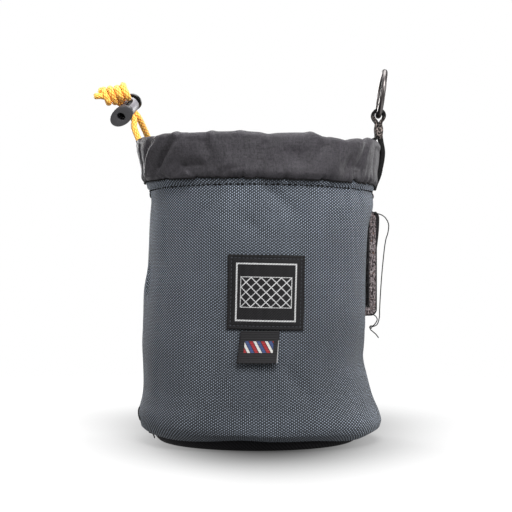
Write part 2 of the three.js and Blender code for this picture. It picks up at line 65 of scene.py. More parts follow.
# Shader maths: a socket that takes part in Python expressions
class Wire:
    def __init__(self, finish, socket):
        self.finish = finish
        self.socket = socket

    def maths(self, operation, *values):
        return self.finish.node("ShaderNodeMath", {"operation": operation}, dict(enumerate(values)))

    def __add__(self, other):
        return self.maths("ADD", self, other)

    def __radd__(self, other):
        return self.maths("ADD", other, self)

    def __sub__(self, other):
        return self.maths("SUBTRACT", self, other)

    def __rsub__(self, other):
        return self.maths("SUBTRACT", other, self)

    def __mul__(self, other):
        return self.maths("MULTIPLY", self, other)

    def __rmul__(self, other):
        return self.maths("MULTIPLY", other, self)

    def __truediv__(self, other):
        return self.maths("DIVIDE", self, other)

    def __rtruediv__(self, other):
        return self.maths("DIVIDE", other, self)

    def __mod__(self, other):
        return self.maths("FLOORED_MODULO", self, other)

    def __pow__(self, other):
        return self.maths("POWER", self, other)

    def __lt__(self, other):
        return self.maths("LESS_THAN", self, other)

    def __gt__(self, other):
        return self.maths("GREATER_THAN", self, other)

    def __abs__(self):
        return self.maths("ABSOLUTE", self)

    def floor(self):
        return self.maths("FLOOR", self)

    def sine(self):
        return self.maths("SINE", self)

    def atMost(self, other):
        return self.maths("MINIMUM", self, other)

    def atLeast(self, other):
        return self.maths("MAXIMUM", self, other)

    def clamped(self):
        return self.atLeast(0).atMost(1)


class Finish:
    def __init__(self, name, **constants):
        self.material = bpy.data.materials.new(name)
        self.material.use_nodes = True
        self.tree = self.material.node_tree
        self.tree.nodes.clear()
        self.shader = self.tree.nodes.new("ShaderNodeBsdfPrincipled")
        output = self.tree.nodes.new("ShaderNodeOutputMaterial")
        self.tree.links.new(self.shader.outputs[0], output.inputs["Surface"])
        for key, value in constants.items():
            self.shader.inputs[key].default_value = value

    def node(self, kind, settings=None, sockets=None, output=0):
        made = self.tree.nodes.new(kind)
        for key, value in (settings or {}).items():
            if key == "stops":
                ramp = made.color_ramp.elements
                while len(ramp) < len(value):
                    ramp.new(1)
                for element, (place, colour) in zip(ramp, value):
                    element.position = place
                    element.color = colour
            else:
                setattr(made, key, value)
        for key, value in (sockets or {}).items():
            if isinstance(value, Wire):
                self.tree.links.new(value.socket, made.inputs[key])
            else:
                made.inputs[key].default_value = value
        return Wire(self, made.outputs[output])

    def place(self):
        # u and v of the piece's own map, in millimetres
        where = self.node("ShaderNodeUVMap", {"uv_map": "cloth"})
        split = self.node("ShaderNodeSeparateXYZ", None, {0: where})
        v = Wire(self, split.socket.node.outputs[1])
        return split * mapSpan, v * mapSpan

    def inSpace(self):
        return self.node("ShaderNodeTexCoord", None, None, 3)

    def noise(self, scale, detail, rough, stretch=None):
        where = self.inSpace()
        if stretch:
            where = self.node("ShaderNodeMapping", None, {"Vector": where, "Scale": stretch})
        return self.node("ShaderNodeTexNoise", None,
                         {"Vector": where, "Scale": scale, "Detail": detail, "Roughness": rough})

    def chance(self, value):
        return self.node("ShaderNodeTexWhiteNoise", {"noise_dimensions": "1D"}, {"W": value})

    def mixed(self, share, first, second):
        return self.node("ShaderNodeMix", {"data_type": "RGBA"}, {0: share, 6: first, 7: second}, 2)

    def ramp(self, value, stops):
        return self.node("ShaderNodeValToRGB", {"stops": stops}, {0: value})

    def raised(self, height, strength, distance):
        return self.node("ShaderNodeBump", None,
                         {"Strength": strength, "Distance": distance, "Height": height})

    def give(self, **sockets):
        names = {"colour": "Base Color", "roughness": "Roughness", "normal": "Normal", "alpha": "Alpha",
                 "glow": "Emission Color"}
        for key, value in sockets.items():
            self.tree.links.new(value.socket, self.shader.inputs[names[key]])
        return self.material


mapSpan = 500.0  # millimetres that the unit square of a piece's map covers


def tone(red, green, blue, gain=1.0):
    # a display colour, 0 to 255, as the linear colour that shaders take
    linear = []
    for value in (red, green, blue):
        share = value / 255
        linear.append(gain * (share / 12.92 if share <= 0.04045 else ((share + 0.055) / 1.055) ** 2.4))
    return (*linear, 1.0)


def weaveOf(finish, across, along):
    # plain weave: one thread for each whole step of across and along
    x = across % 1 - 0.5
    y = along % 1 - 0.5
    over = (across.floor() + along.floor()) % 2
    warp = 1 - x * x * 4
    weft = 1 - y * y * 4
    height = over * warp * (0.55 + 0.45 * weft) + (1 - over) * weft * (0.55 + 0.45 * warp)
    tint = over * finish.chance(across.floor()) + (1 - over) * finish.chance(along.floor() + 0.37)
    return height, tint, over


# Light and floor
studio = {
    "ambient": 0.25,
    "aim": (0, 0, 90),
    "floor": {"tone": 0.16, "glow": 0.74, "half": 2.0, "solid": 0.16, "gone": 0.5},
    "shade": {"middle": (0.005, 0.01), "even": 0.04, "side": 0.073, "front": 0.1, "back": 0.14,
              "flare": 0.16, "narrowest": 0.02, "depth": 0.94, "fall": 1.1},
    "lamps": [
        {"name": "keyRight", "at": (760, -560, 420), "size": 300, "power": 3.8},
        {"name": "edgeRight", "at": (650, 560, 260), "size": 300, "power": 2.8},
        {"name": "edgeLeft", "at": (-380, 760, 240), "size": 300, "power": 3.6},
        {"name": "fillLeft", "at": (-820, -420, 420), "size": 300, "power": 1.6},
        {"name": "topBack", "at": (0, 260, 930), "size": 700, "power": 7.6},
        {"name": "topFront", "at": (120, -600, 760), "size": 350, "power": 7.9},
    ],
}


def buildStudio(setup):
    world = bpy.data.worlds.new("studioWorld")
    world.use_nodes = True
    tree = world.node_tree
    # white behind the object, and a softer white as its light
    backdrop = tree.nodes["Background"]
    backdrop.inputs[0].default_value = (1, 1, 1, 1)
    seen = tree.nodes.new("ShaderNodeLightPath").outputs["Is Camera Ray"]
    level = tree.nodes.new("ShaderNodeMapRange")
    level.inputs["To Min"].default_value = setup["ambient"]
    level.inputs["To Max"].default_value = 1.0
    tree.links.new(seen, level.inputs["Value"])
    tree.links.new(level.outputs[0], backdrop.inputs["Strength"])
    scene.world = world
    scene.view_settings.view_transform = "Standard"
    for lamp in setup["lamps"]:
        data = bpy.data.lights.new(lamp["name"], "AREA")
        data.size = lamp["size"] * mm
        data.energy = lamp["power"]
        light = bpy.data.objects.new(lamp["name"], data)
        light.location = [value * mm for value in lamp["at"]]
        aim = Vector(setup["aim"]) * mm - light.location
        light.rotation_euler = aim.to_track_quat("-Z", "Y").to_euler()
        scene.collection.objects.link(light)
    paper = setup["floor"]
    mesh = bpy.data.meshes.new("floor")
    half = paper["half"]
    corners = [(x * half, y * half, 0) for x, y in ((-1, -1), (1, -1), (1, 1), (-1, 1))]
    mesh.from_pydata(corners, [], [(0, 1, 2, 3)])
    floor = bpy.data.objects.new("floor", mesh)
    floor.visible_diffuse = False  # the paper's glow is for the eye and throws no light on the cloth
    scene.collection.objects.link(floor)
    finish = Finish("paper", Roughness=0.9, **{"Emission Strength": paper["glow"]})
    far = finish.node("ShaderNodeVectorMath", {"operation": "LENGTH"}, {0: finish.inSpace()}, 1)
    alpha = ((paper["gone"] - far) / (paper["gone"] - paper["solid"])).clamped()
    # painted shadow: the paper's colour and its glow are painted darker towards the pouch, most in front of
    # it
    shade = setup["shade"]
    x = finish.node("ShaderNodeSeparateXYZ", None, {0: finish.inSpace()})
    y = Wire(finish, x.socket.node.outputs[1])
    across = (x - shade["middle"][0]) / (shade["side"] + y * shade["flare"]).atLeast(shade["narrowest"])
    back = (y - shade["middle"][1] - shade["even"]).atLeast(0) / shade["back"]
    along = (shade["middle"][1] - shade["even"] - y).atLeast(0) / shade["front"] + back
    near = across * across + along * along
    share = near.maths("POWER", math.e, near**shade["fall"] * -1) * shade["depth"]
    black = (0, 0, 0, 1)
    colour = finish.mixed(share, (*[paper["tone"]] * 3, 1), black)
    glow = finish.mixed(share, (1, 1, 1, 1), black)
    mesh.materials.append(finish.give(colour=colour, alpha=alpha, glow=glow))


buildStudio(studio)
print("camera, floor and lamps in place")


# Mesh helpers
def addObject(name, mesh, material=None):
    piece = bpy.data.objects.new(name, mesh)
    scene.collection.objects.link(piece)
    if material:
        mesh.materials.append(material)
    return piece


def dress(piece, node=None, rides="pouch"):
    # the solid that a piece stands for, and the body it moves with
    if node:
        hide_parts(node)
    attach(piece, rides)


def gridMesh(name, points, uv, wrap=False):
    # points: rows x columns x 3 in millimetres; uv: rows x columns (one more when wrapped) x 2 in millimetres
    rows, columns = points.shape[:2]
    mesh = bpy.data.meshes.new(name)
    i, j = np.meshgrid(np.arange(rows - 1), np.arange(columns if wrap else columns - 1), indexing="ij")
    i, j = i.ravel(), j.ravel()
    k = (j + 1) % columns
    quads = np.stack([i * columns + j, i * columns + k, (i + 1) * columns + k, (i + 1) * columns + j], axis=1)
    mesh.from_pydata(points.reshape(-1, 3) * mm, [], quads.tolist())
    corners = np.stack([uv[i, j], uv[i, j + 1], uv[i + 1, j + 1], uv[i + 1, j]], axis=1)
    layer = mesh.uv_layers.new(name="cloth")
    layer.data.foreach_set("uv", (corners / mapSpan).ravel())
    mesh.polygons.foreach_set("use_smooth", [True] * len(mesh.polygons))
    mesh.update()
    return mesh


def smoothPath(points, count):
    # centripetal curve through the points, as evenly stepped as the points are
    p = np.asarray(points, float)
    p = np.vstack([2 * p[0] - p[1], p, 2 * p[-1] - p[-2]])
    spans = len(p) - 3
    line = []
    for t in np.linspace(0, spans, count):
        n = min(int(t), spans - 1)
        a, b, c, d = p[n:n + 4]
        dt = [max(np.linalg.norm(v - u), 1e-6) ** 0.5 for u, v in ((a, b), (b, c), (c, d))]
        s = t - n
        m1 = ((b - a) / dt[0] - (c - a) / (dt[0] + dt[1]) + (c - b) / dt[1]) * dt[1]
        m2 = ((c - b) / dt[1] - (d - b) / (dt[1] + dt[2]) + (d - c) / dt[2]) * dt[1]
        line.append((2 * s**3 - 3 * s**2 + 1) * b + (s**3 - 2 * s**2 + s) * m1
                    + (3 * s**2 - 2 * s**3) * c + (s**3 - s**2) * m2)
    return np.array(line)


def distances(points):
    # the way along a line to each of its points
    steps = np.linalg.norm(np.diff(np.asarray(points, float), axis=0), axis=1)
    return np.concatenate([[0], np.cumsum(steps)])


def evenPath(points, step):
    p = np.asarray(points, float)
    run = distances(p)
    marks = np.linspace(0, run[-1], max(2, round(run[-1] / step) + 1))
    return np.stack([np.interp(marks, run, p[:, axis]) for axis in range(3)], axis=1)


def fewPoints(path, count):
    return evenPath(path, pathLength(path) / (count - 1))


def pathLength(points):
    return float(distances(points)[-1])


def unit(v):
    v = np.asarray(v, float)
    return v / np.maximum(np.linalg.norm(v, axis=-1, keepdims=True), 1e-9)


def outward(point):
    # the level way from the pouch's axis to a point
    return unit((point[0], point[1], 0))


def mended(mesh):
    # joins doubled points and turns every face outwards
    bm = bmesh.new()
    bm.from_mesh(mesh)
    bmesh.ops.remove_doubles(bm, verts=bm.verts, dist=1e-7)
    bmesh.ops.recalc_face_normals(bm, faces=bm.faces)
    bm.to_mesh(mesh)
    bm.free()
    return mesh


def sweep(name, path, section, side=None):
    # a closed section, pairs (out, aside) per path point, carried along a path
    # side fixes the aside direction
    path = np.asarray(path, float)
    tangent = unit(np.gradient(path, axis=0))
    aside = np.zeros_like(path)
    start = np.array(side if side is not None else (0.31, 0.52, 0.79))
    for n in range(len(path)):
        start = unit(start - tangent[n] * start.dot(tangent[n]))
        aside[n] = start
    out = np.cross(aside, tangent)
    section = np.asarray(section, float)
    if section.ndim == 2:
        section = np.repeat(section[None], len(path), axis=0)
    rings = path[:, None] + out[:, None] * section[..., :1] + aside[:, None] * section[..., 1:]
    run = distances(path)
    girth = distances(np.concatenate([section[0], section[0][:1]]))
    u, v = np.meshgrid(girth, run)
    mesh = gridMesh(name, rings, np.stack([u, v], axis=2), wrap=True)
    bm = bmesh.new()
    bm.from_mesh(mesh)
    bm.verts.ensure_lookup_table()
    count = section.shape[1]
    layer = bm.loops.layers.uv["cloth"]
    for first, flip in ((0, False), ((len(path) - 1) * count, True)):
        ring = [bm.verts[first + k] for k in range(count)]
        face = bm.faces.new(ring if flip else ring[::-1])
        face.smooth = True
        for loop in face.loops:
            loop[layer].uv = (0, run[-1] / mapSpan if flip else 0)
    bmesh.ops.recalc_face_normals(bm, faces=bm.faces)
    bm.to_mesh(mesh)
    bm.free()
    return mesh


def ringSection(radius, sides):
    turn = np.linspace(0, 2 * math.pi, sides, endpoint=False)
    return np.stack([radius * np.cos(turn), radius * np.sin(turn)], axis=1)


def tubeMesh(name, path, radius, sides=16, cut=0.35):
    # a cord's tube with slightly rounded cut ends
    path = np.asarray(path, float)
    run = distances(path)
    left = np.minimum(run, run[-1] - run)
    shape = np.where(left < cut, 0.72 + 0.28 * np.sqrt(np.clip(left / cut, 0, 1)), 1.0)
    return sweep(name, path, ringSection(radius, sides)[None] * shape[:, None, None])


def joinMeshes(name, meshes):
    bm = bmesh.new()
    for mesh in meshes:
        bm.from_mesh(mesh)
    joined = bpy.data.meshes.new(name)
    bm.to_mesh(joined)
    bm.free()
    for mesh in meshes:
        if not mesh.users:
            bpy.data.meshes.remove(mesh)
    return joined


def thicken(piece, thickness):
    # cloth gets its thickness inwards from the face that is seen
    wall = piece.modifiers.new("thickness", "SOLIDIFY")
    wall.thickness = thickness * mm
    wall.offset = -1
    wall.use_even_offset = True


def bake(piece):
    # turns a piece with modifiers into a plain mesh
    view = bpy.context.evaluated_depsgraph_get()
    made = bpy.data.meshes.new_from_object(piece.evaluated_get(view), preserve_all_data_layers=True,
                                           depsgraph=view)
    old = piece.data
    piece.modifiers.clear()
    piece.data = made
    bpy.data.meshes.remove(old)
    return piece


def softened(values, sigma, axis, wrap):
    # even smoothing of a table of values along one of its axes
    reach = max(1, int(3 * sigma))
    steps = np.arange(-reach, reach + 1)
    share = np.exp(-0.5 * (steps / sigma) ** 2)
    share /= share.sum()
    pad = [(0, 0)] * values.ndim
    pad[axis] = (reach, reach)
    wide = np.pad(values, pad, mode="wrap" if wrap else "edge")
    size = values.shape[axis]
    return sum(w * np.take(wide, range(k, k + size), axis=axis) for k, w in enumerate(share))


def treeOf(node):
    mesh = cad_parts[node].data
    corners = [v.co / mm for v in mesh.vertices]
    return BVHTree.FromPolygons(corners, [p.vertices[:] for p in mesh.polygons])


def polar(angle, radius, z):
    turn = np.radians(angle)
    return np.stack([radius * np.cos(turn), radius * np.sin(turn), z + 0 * radius], axis=-1)


def turnFrom(start, angle):
    # degrees from one way to another, the short way round
    return (angle - start + 180) % 360 - 180


def foldDepth(folds, angle, height, radius):
    # soft creases: each has the degrees and height of both its ends, its depth and its width
    depth = np.zeros(np.broadcast(angle, height).shape)
    perDegree = radius * math.pi / 180
    for a0, z0, a1, z1, deep, wide in folds:
        x = turnFrom(a0, angle) * perDegree
        y = height - z0
        dx = (a1 - a0) * perDegree
        dy = z1 - z0
        along = np.clip((x * dx + y * dy) / (dx * dx + dy * dy), 0, 1)
        apart = np.hypot(x - along * dx, y - along * dy)
        ends = 0.35 + 0.65 * np.sin(math.pi * np.clip(along, 0.02, 0.98))
        depth += deep * ends * np.exp(-((apart / wide) ** 2))
    return depth


def waves(angle, height, swell):
    # slow seeded swells of cloth, about as high as the swell's out
    chooser = random.Random(swell["seed"])
    total = np.zeros(np.broadcast(angle, height).shape)
    for _ in range(swell["count"]):
        around = chooser.randint(1, 9)
        up = chooser.uniform(-1, 1) / swell["size"]
        total += np.sin(np.radians(angle) * around + height * up * 2 * math.pi + chooser.uniform(0, 6.28))
    return swell["out"] * (total / math.sqrt(swell["count"]))


# Body: the cloth wall, read off the frame's solid and given its creases
body = {
    "columns": 360,
    "radius": 63,  # turns degrees into millimetres
    "cloth": 1.6,
    "threads": {"count": 372, "across": 1.0625, "up": 0.76},  # an even number round the wall
    "bottom": [5.28, 5.4, 5.6, 5.9, 6.3, 6.9, 7.7, 8.6, 9.6, 10.8],
    "step": 1.25,
    "top": 150.6,
    "smooth": {"around": 3.2, "up": 2.4, "from": 2, "over": 5},
    "loose": {"from": 6, "full": 20, "to": 146, "off": 8, "least": 0.15},
    "swell": {"out": 0.35, "seed": 5, "size": 70, "count": 9},
    "corner": {"angle": 190, "spread": 24, "height": 6.6, "reach": 4.0, "out": 1.2, "free": 0.9},
    "band": {"low": 142.0, "sides": -1.9, "right": -0.4, "proud": 0.6, "step": 0.9,
             "groove": 0.5, "grooveWidth": 0.8},
    "hemReach": {"from": 16, "over": 9},
    "hemWaves": [
        {"angle": 262, "spread": 12, "rise": 1.0}, {"angle": 226, "spread": 16, "rise": -1.0},
        {"angle": 195, "spread": 9, "rise": 0.4}, {"angle": 326, "spread": 17, "rise": -2.0},
        {"angle": 20, "spread": 13, "rise": 0.8}, {"angle": 60, "spread": 12, "rise": 1.4},
        {"angle": 115, "spread": 15, "rise": 1.2}, {"angle": 160, "spread": 12, "rise": 0.9},
    ],
    "puckers": {"seed": 11, "count": 70, "deep": (0.15, 0.5), "tall": (4, 13), "wide": (1.6, 3.6)},
    "folds": [  # degrees and height of both ends, depth and width
        (189, 101, 194, 84, 1.9, 2.0), (196, 101, 199, 82, -1.0, 1.8),
        (356, 126, 356, 72, -0.45, 4.5), (186, 60, 200, 36, 0.8, 5),
        (352, 64, 330, 40, 1.1, 6), (356, 52, 338, 26, 0.8, 4),
        (318, 70, 306, 46, 0.5, 6), (244, 62, 255, 34, 0.5, 7),
        (300, 128, 322, 118, 0.45, 5), (273, 143, 290, 125, 2.4, 4),
        (262, 125, 271, 117, 1.5, 4), (283, 46, 297, 26, 1.8, 5),
        (250, 138, 236, 116, 1.3, 5), (20, 46, 44, 34, 1.0, 5),
        (66, 118, 92, 92, 0.9, 6), (120, 70, 104, 40, 1.0, 6),
        (150, 120, 164, 88, 0.9, 5),
    ],
}
rayStart = 120  # millimetres off the axis, outside every solid


def wallTable(node, angles, heights):
    tree = treeOf(node)
    radius = np.zeros((len(heights), len(angles)))
    for i, z in enumerate(heights):
        for j, angle in enumerate(np.radians(angles)):
            way = Vector((math.cos(angle), math.sin(angle), 0))
            hit = tree.ray_cast(way * rayStart + Vector((0, 0, z)), -way)[0]
            radius[i, j] = math.hypot(hit.x, hit.y) if hit else np.nan
    return radius


def tucks(setup, angle, height, start, radius):
    # short upright puckers that run from a seam
    chooser = random.Random(setup["seed"])
    depth = np.zeros(np.broadcast(angle, height).shape)
    for _ in range(setup["count"]):
        at = chooser.uniform(0, 360)
        deep = chooser.uniform(*setup["deep"])
        tall = chooser.uniform(*setup["tall"])
        wide = chooser.uniform(*setup["wide"])
        lean = chooser.uniform(-0.3, 0.3)
        away = np.abs(height - start)
        across = turnFrom(at, angle) * radius * math.pi / 180 - lean * away
        depth += deep * np.exp(-((across / wide) ** 2)) * np.exp(-((away / tall) ** 2))
    return depth


mapGirth = body["threads"]["count"] * body["threads"]["across"]
wallHeights = np.array(body["bottom"] + list(np.arange(12, body["top"], body["step"])) + [body["top"]])
wallAngles = np.arange(body["columns"]) * 360 / body["columns"]


def seamHeight(angle):
    # the top seam lies lower at both sides than in front, most on the right
    band = body["band"]
    across = np.cos(np.radians(angle))
    return band["low"] + band["sides"] * across**2 + band["right"] * across


def shapeWall(setup):
    smooth = setup["smooth"]
    radius = wallTable("body_wall", wallAngles, wallHeights)
    radius = softened(radius, smooth["around"] / 360 * setup["columns"], 1, True)
    upper = softened(radius, smooth["up"], 0, False)
    aboveHem = np.arange(len(wallHeights)) - len(setup["bottom"]) + smooth["from"]
    share = np.clip(aboveHem / smooth["over"], 0, 1)[:, None]
    radius = radius * (1 - share) + upper * share
    angle, z = np.meshgrid(wallAngles, wallHeights)
    # the cloth moves freely between its hem and its top seam
    loose = setup["loose"]
    free = np.clip((z - loose["from"]) / (loose["full"] - loose["from"]), 0, 1)
    free = free * np.clip((loose["to"] - z) / loose["off"], loose["least"], 1)
    radius = radius + waves(angle, z, setup["swell"]) * free
    radius = radius - foldDepth(setup["folds"], angle, z, setup["radius"]) * free
    # the lower corner on the left is fuller
    corner = setup["corner"]
    away = turnFrom(corner["angle"], angle) / corner["spread"]
    full = np.exp(-(away**2) - ((z - corner["height"]) / corner["reach"]) ** 2)
    radius = radius + corner["out"] * full * np.clip((z - wallHeights[0]) / corner["free"], 0, 1)
    band = setup["band"]
    low = seamHeight(angle)
    radius = radius - tucks(setup["puckers"], angle, z, low, setup["radius"]) * (z < low + 1)
    inBand = np.clip((z - low) / band["step"], 0, 1)
    groove = np.exp(-(((z - low) / band["grooveWidth"]) ** 2))
    return radius + band["proud"] * inBand - band["groove"] * groove


wallRadius = shapeWall(body)


def wallAt(angle, z, out=0.0):
    # a point over the body's cloth, at a distance from it
    column = (np.asarray(angle, float) % 360) / 360 * body["columns"]
    row = np.interp(z, wallHeights, np.arange(len(wallHeights)))
    j = np.floor(column).astype(int)
    i = np.clip(np.floor(row).astype(int), 0, len(wallHeights) - 2)
    s = column - j
    t = row - i
    k = (j + 1) % body["columns"]
    j = j % body["columns"]
    radius = ((1 - t) * ((1 - s) * wallRadius[i, j] + s * wallRadius[i, k])
              + t * ((1 - s) * wallRadius[i + 1, j] + s * wallRadius[i + 1, k]))
    return polar(angle, radius + out, np.asarray(z, float))


print("body wall read off the frame")

# Collar: the doubled cloth from its seam, over the rim's fold and down inside
collar = {
    "columns": 480,
    "radius": 66,  # turns degrees into millimetres
    "girth": 420,
    "cloth": 1.1,
    "solidEdge": 146,  # lower edge of the frame's solid
    "readLevel": 162.5,  # height at which its side is read
    "smooth": 3.4,
    "foldRadius": 3.5,
    "channel": 3.2,  # least way from the drawcord's middle to the cloth's outer face
    "seam": {"front": 144.4, "left": 144.7, "right": 142.6},
    "hem": 144.0,
    "rows": {"outside": 22, "fold": 17, "inside": 20},
    "exitGaps": [(178, 192), (155, 169)],
    "swell": {"out": 0.6, "seed": 21, "size": 40, "count": 8},
    "foldGain": 1.5,
    "bulge": {"out": 0.8, "up": 4.0, "width": 3.2},
    "gather": {"out": 0.55, "width": 4.0, "lift": 0.45},
    "exitLevel": 160,
    "lips": {"out": 0.7, "from": 2.2, "width": 1.8},
    "puckers": {"seed": 4, "count": 120, "deep": (0.3, 1.5), "tall": (2.0, 6.5), "wide": (0.8, 2.0)},
    "folds": [  # degrees and height of both ends, depth and width
        (229, 166, 211, 146, 2.5, 1.7), (221, 167, 204, 150, -1.3, 2.4),
        (213, 168, 206, 156, 1.5, 1.5), (199, 168, 195, 147, 1.6, 1.7),
        (236, 167, 220, 147, -1.0, 2.2), (227, 147, 234, 152, 1.3, 1.3),
        (234, 152, 243, 147, 1.3, 1.4), (235, 147, 236, 149, -0.9, 2.2),
        (244, 168, 250, 152, 0.8, 3), (252, 147, 262, 151, 1.0, 2.2),
        (276, 170, 271, 153, 0.8, 3), (292, 160, 288, 150, 0.9, 4),
        (304, 170, 298, 156, 0.9, 2.4), (318, 158, 313, 147, 1.1, 3),
        (330, 170, 322, 153, 1.0, 2.4), (339, 164, 336, 150, 0.8, 2.4),
        (233, 151, 247, 150, 1.8, 4.5), (253, 150, 267, 151, -1.2, 5.5),
        (281, 157, 291, 158, 1.2, 4.5), (300, 151, 311, 152, -1.0, 5),
        (317, 150, 328, 149, 1.2, 5.5), (319, 164, 336, 163, -0.5, 4.5),
        (229, 172, 229, 165, -0.6, 2.2), (238, 172, 238, 165, 0.5, 2.6),
        (248, 172, 248, 166, -0.5, 2.4), (262, 172, 262, 166, -0.4, 3),
        (296, 172, 296, 165, -0.6, 2.6), (315, 172, 315, 165, 0.6, 3),
        (334, 172, 334, 165, -0.5, 2.4), (150, 168, 140, 150, 1.8, 2.2),
        (158, 168, 150, 154, 1.4, 1.7), (174, 168, 173, 150, 1.6, 1.7),
        (118, 162, 106, 149, 1.3, 2.6), (96, 167, 92, 152, 0.9, 3),
        (70, 164, 82, 150, 1.3, 3), (46, 166, 52, 152, 0.9, 2.6),
        (26, 160, 36, 148, 1.2, 2.4),
    ],
}
collarAngles = np.arange(collar["columns"]) * 360 / collar["columns"]


def readCollar(setup):
    # radius and height of the collar's face, row by row along its profile
    tree = treeOf("collar")
    rows = setup["rows"]
    fold = setup["foldRadius"]
    turns = np.linspace(0, math.pi, rows["fold"])
    total = rows["outside"] + rows["fold"] + rows["inside"]
    radius = np.full((total, len(collarAngles)), np.nan)
    height = np.full((total, len(collarAngles)), np.nan)
    hold = np.zeros((2, len(collarAngles)))
    for j, angle in enumerate(collarAngles):
        way = Vector((math.cos(math.radians(angle)), math.sin(math.radians(angle)), 0))

        def cast(start, heading):
            hit = tree.ray_cast(way * start[0] + Vector((0, 0, start[1])),
                                way * heading[0] + Vector((0, 0, heading[1])))[0]
            return (hit.dot(way), hit.z) if hit else (np.nan, np.nan)

        side = cast((rayStart, setup["readLevel"]), (-1, 0))[0]
        middle = side - fold
        top = cast((middle, rayStart * 2), (0, -1))[1]
        centre = top - fold
        hold[:, j] = middle, centre
        for i, share in enumerate(np.linspace(0.02, 0.97, rows["outside"])):
            z = setup["solidEdge"] + share * (centre - setup["solidEdge"])
            radius[i, j] = cast((rayStart, z), (-1, 0))[0]
            height[i, j] = z
        for k, turn in enumerate(turns):
            out = (math.cos(turn), math.sin(turn))
            start = (middle + 4 * fold * out[0], centre + 4 * fold * out[1])
            row = rows["outside"] + k
            radius[row, j], height[row, j] = cast(start, (-out[0], -out[1]))
        for k, share in enumerate(np.linspace(0.05, 1, rows["inside"])):
            z = centre + share * (setup["hem"] - centre)
            row = rows["outside"] + rows["fold"] + k
            radius[row, j] = cast((middle / 3, z), (1, 0))[0]
            height[row, j] = z
    good = np.ones(len(collarAngles), bool)
    for low, high in setup["exitGaps"]:
        good &= (collarAngles < low) | (collarAngles > high)
    columns = np.arange(len(collarAngles))
    for table in (radius, height, hold):
        for row in table:
            known = good & np.isfinite(row)
            row[:] = np.interp(columns, columns[known], row[known], period=len(columns))
    sigma = setup["smooth"] / 360 * setup["columns"]
    return [softened(table, sigma, 1, True) for table in (radius, height, hold)]


collarRadius, collarHeight, collarHold = readCollar(collar)


def channelPoint(angle):
    # middle of the rim's fold, where the drawcord runs
    columns = np.arange(collar["columns"])
    at = angle % 360 / 360 * collar["columns"]
    r, z = [np.interp(at, columns, row, period=collar["columns"]) for row in collarHold]
    return polar(angle, np.array(r), z)


print("collar read off the frame")

# Drawcord, cord lock and knot: the same ways as the solids
drawcord = {
    "diameter": 3.5,
    "leads": {"a": (195, 190.5), "b": (153, 157.5)},
    "routes": {
        "a": [(-65.9, -6.0, 168.3), (-67.7, -4.8, 172.2), (-69.4, -3.9, 176.8)],
        "b": [(-62.0, 17.2, 168.6), (-62.9, 14.2, 172.4), (-64.8, 8.6, 177.2)],
    },
    "entry": {"run": 6.6, "spread": 0.5},
    "exitRun": 5.3,
    "loop": (195.4, 512.6),
    "slimmer": 0.1,  # inside the channel
    "room": 0.35,  # round the cord where it comes out
    "points": 30,  # points along the path
}
lock = {
    "middle": (-73.2, -2.0, 187.3),
    "axis": (0.32, 0.776, 0.544),
    "hole": (-0.6, -0.1, 0.79),
    "length": 19.2,
    "pitch": 3.7,
    "foot": {"length": 17.4, "width": 10.2, "thickness": 2.2, "turn": 88, "hole": 2.4},
    "barrel": {"radius": 4.7, "bore": 3.45, "start": 2.0, "end": 15.0},
    "slot": {"width": 4.1, "low": 5.7, "high": 13.5},
    "window": {"width": 2.4, "low": 5.2, "high": 13.4, "turn": 62},
    "plunger": {"stem": 3.15, "head": 5.0, "headThickness": 1.7, "low": 4.5, "travel": 2.2},
}
lockAxis = unit(lock["axis"])
lockHole = unit(np.array(lock["hole"]) - lockAxis * np.dot(lock["hole"], lockAxis))


def lockPoint(end, along, spread=0.0):
    offset = (lock["pitch"] / 2 + spread) * (-1 if end == "a" else 1)
    return np.array(lock["middle"]) + lockAxis * offset + lockHole * along


def endRoute(end):
    entry = drawcord["entry"]
    points = [channelPoint(angle) for angle in drawcord["leads"][end]]
    points += [np.array(point) for point in drawcord["routes"][end]]
    points.append(lockPoint(end, -entry["run"], entry["spread"]))
    points += [lockPoint(end, run) for run in (0, drawcord["exitRun"])]
    return evenPath(smoothPath(points, 160), 0.7)


def braidFinish():
    braid = {"carriers": 8, "lay": 2.6, "crest": tone(255, 206, 98, 1.45), "mid": tone(252, 168, 48, 1.35),
             "paintedShadeValley": tone(204, 86, 10)}
    finish = Finish("cordBraid", Roughness=0.62, **{"Sheen Weight": 0.25, "Sheen Roughness": 0.5})
    around, along = finish.place()
    girth = around / (math.pi * drawcord["diameter"]) * braid["carriers"]
    height, tint, _ = weaveOf(finish, girth + along / braid["lay"], girth - along / braid["lay"])
    fibres = finish.noise(2400, 2, 0.6)
    # painted shade: the braid's colour runs from yellow on the strands' crests to deep orange in the valleys
    # between them, where shade falls
    shade = height * 0.8 + tint * 0.2 + fibres * 0.25 - 0.12
    colour = finish.ramp(shade, [(0.0, braid["paintedShadeValley"]), (0.42, braid["mid"]), (0.85, braid["crest"])])
    return finish.give(colour=colour, normal=finish.raised(height + fibres * 0.3, 0.9, 0.00045))


cordBraid = braidFinish()
endPaths = {end: endRoute(end) for end in ("a", "b")}
cordEnds = {}
cordRadius = drawcord["diameter"] / 2
for end, path in endPaths.items():
    mesh = tubeMesh("drawcordEnd", path, cordRadius, 20)
    cordEnds[end] = addObject("drawcordEnd" + end.upper(), mesh, cordBraid)
    dress(cordEnds[end], "drawcord_end_" + end)
loopPath = evenPath([channelPoint(angle) for angle in np.linspace(*drawcord["loop"], 240)], 1.6)
loopMesh = tubeMesh("drawcordLoop", loopPath, cordRadius - drawcord["slimmer"], 12)
cordLoop = addObject("drawcordLoop", loopMesh, cordBraid)
dress(cordLoop, "drawcord_loop")
print("drawcord ends:", [round(pathLength(path), 1) for path in endPaths.values()], "mm")

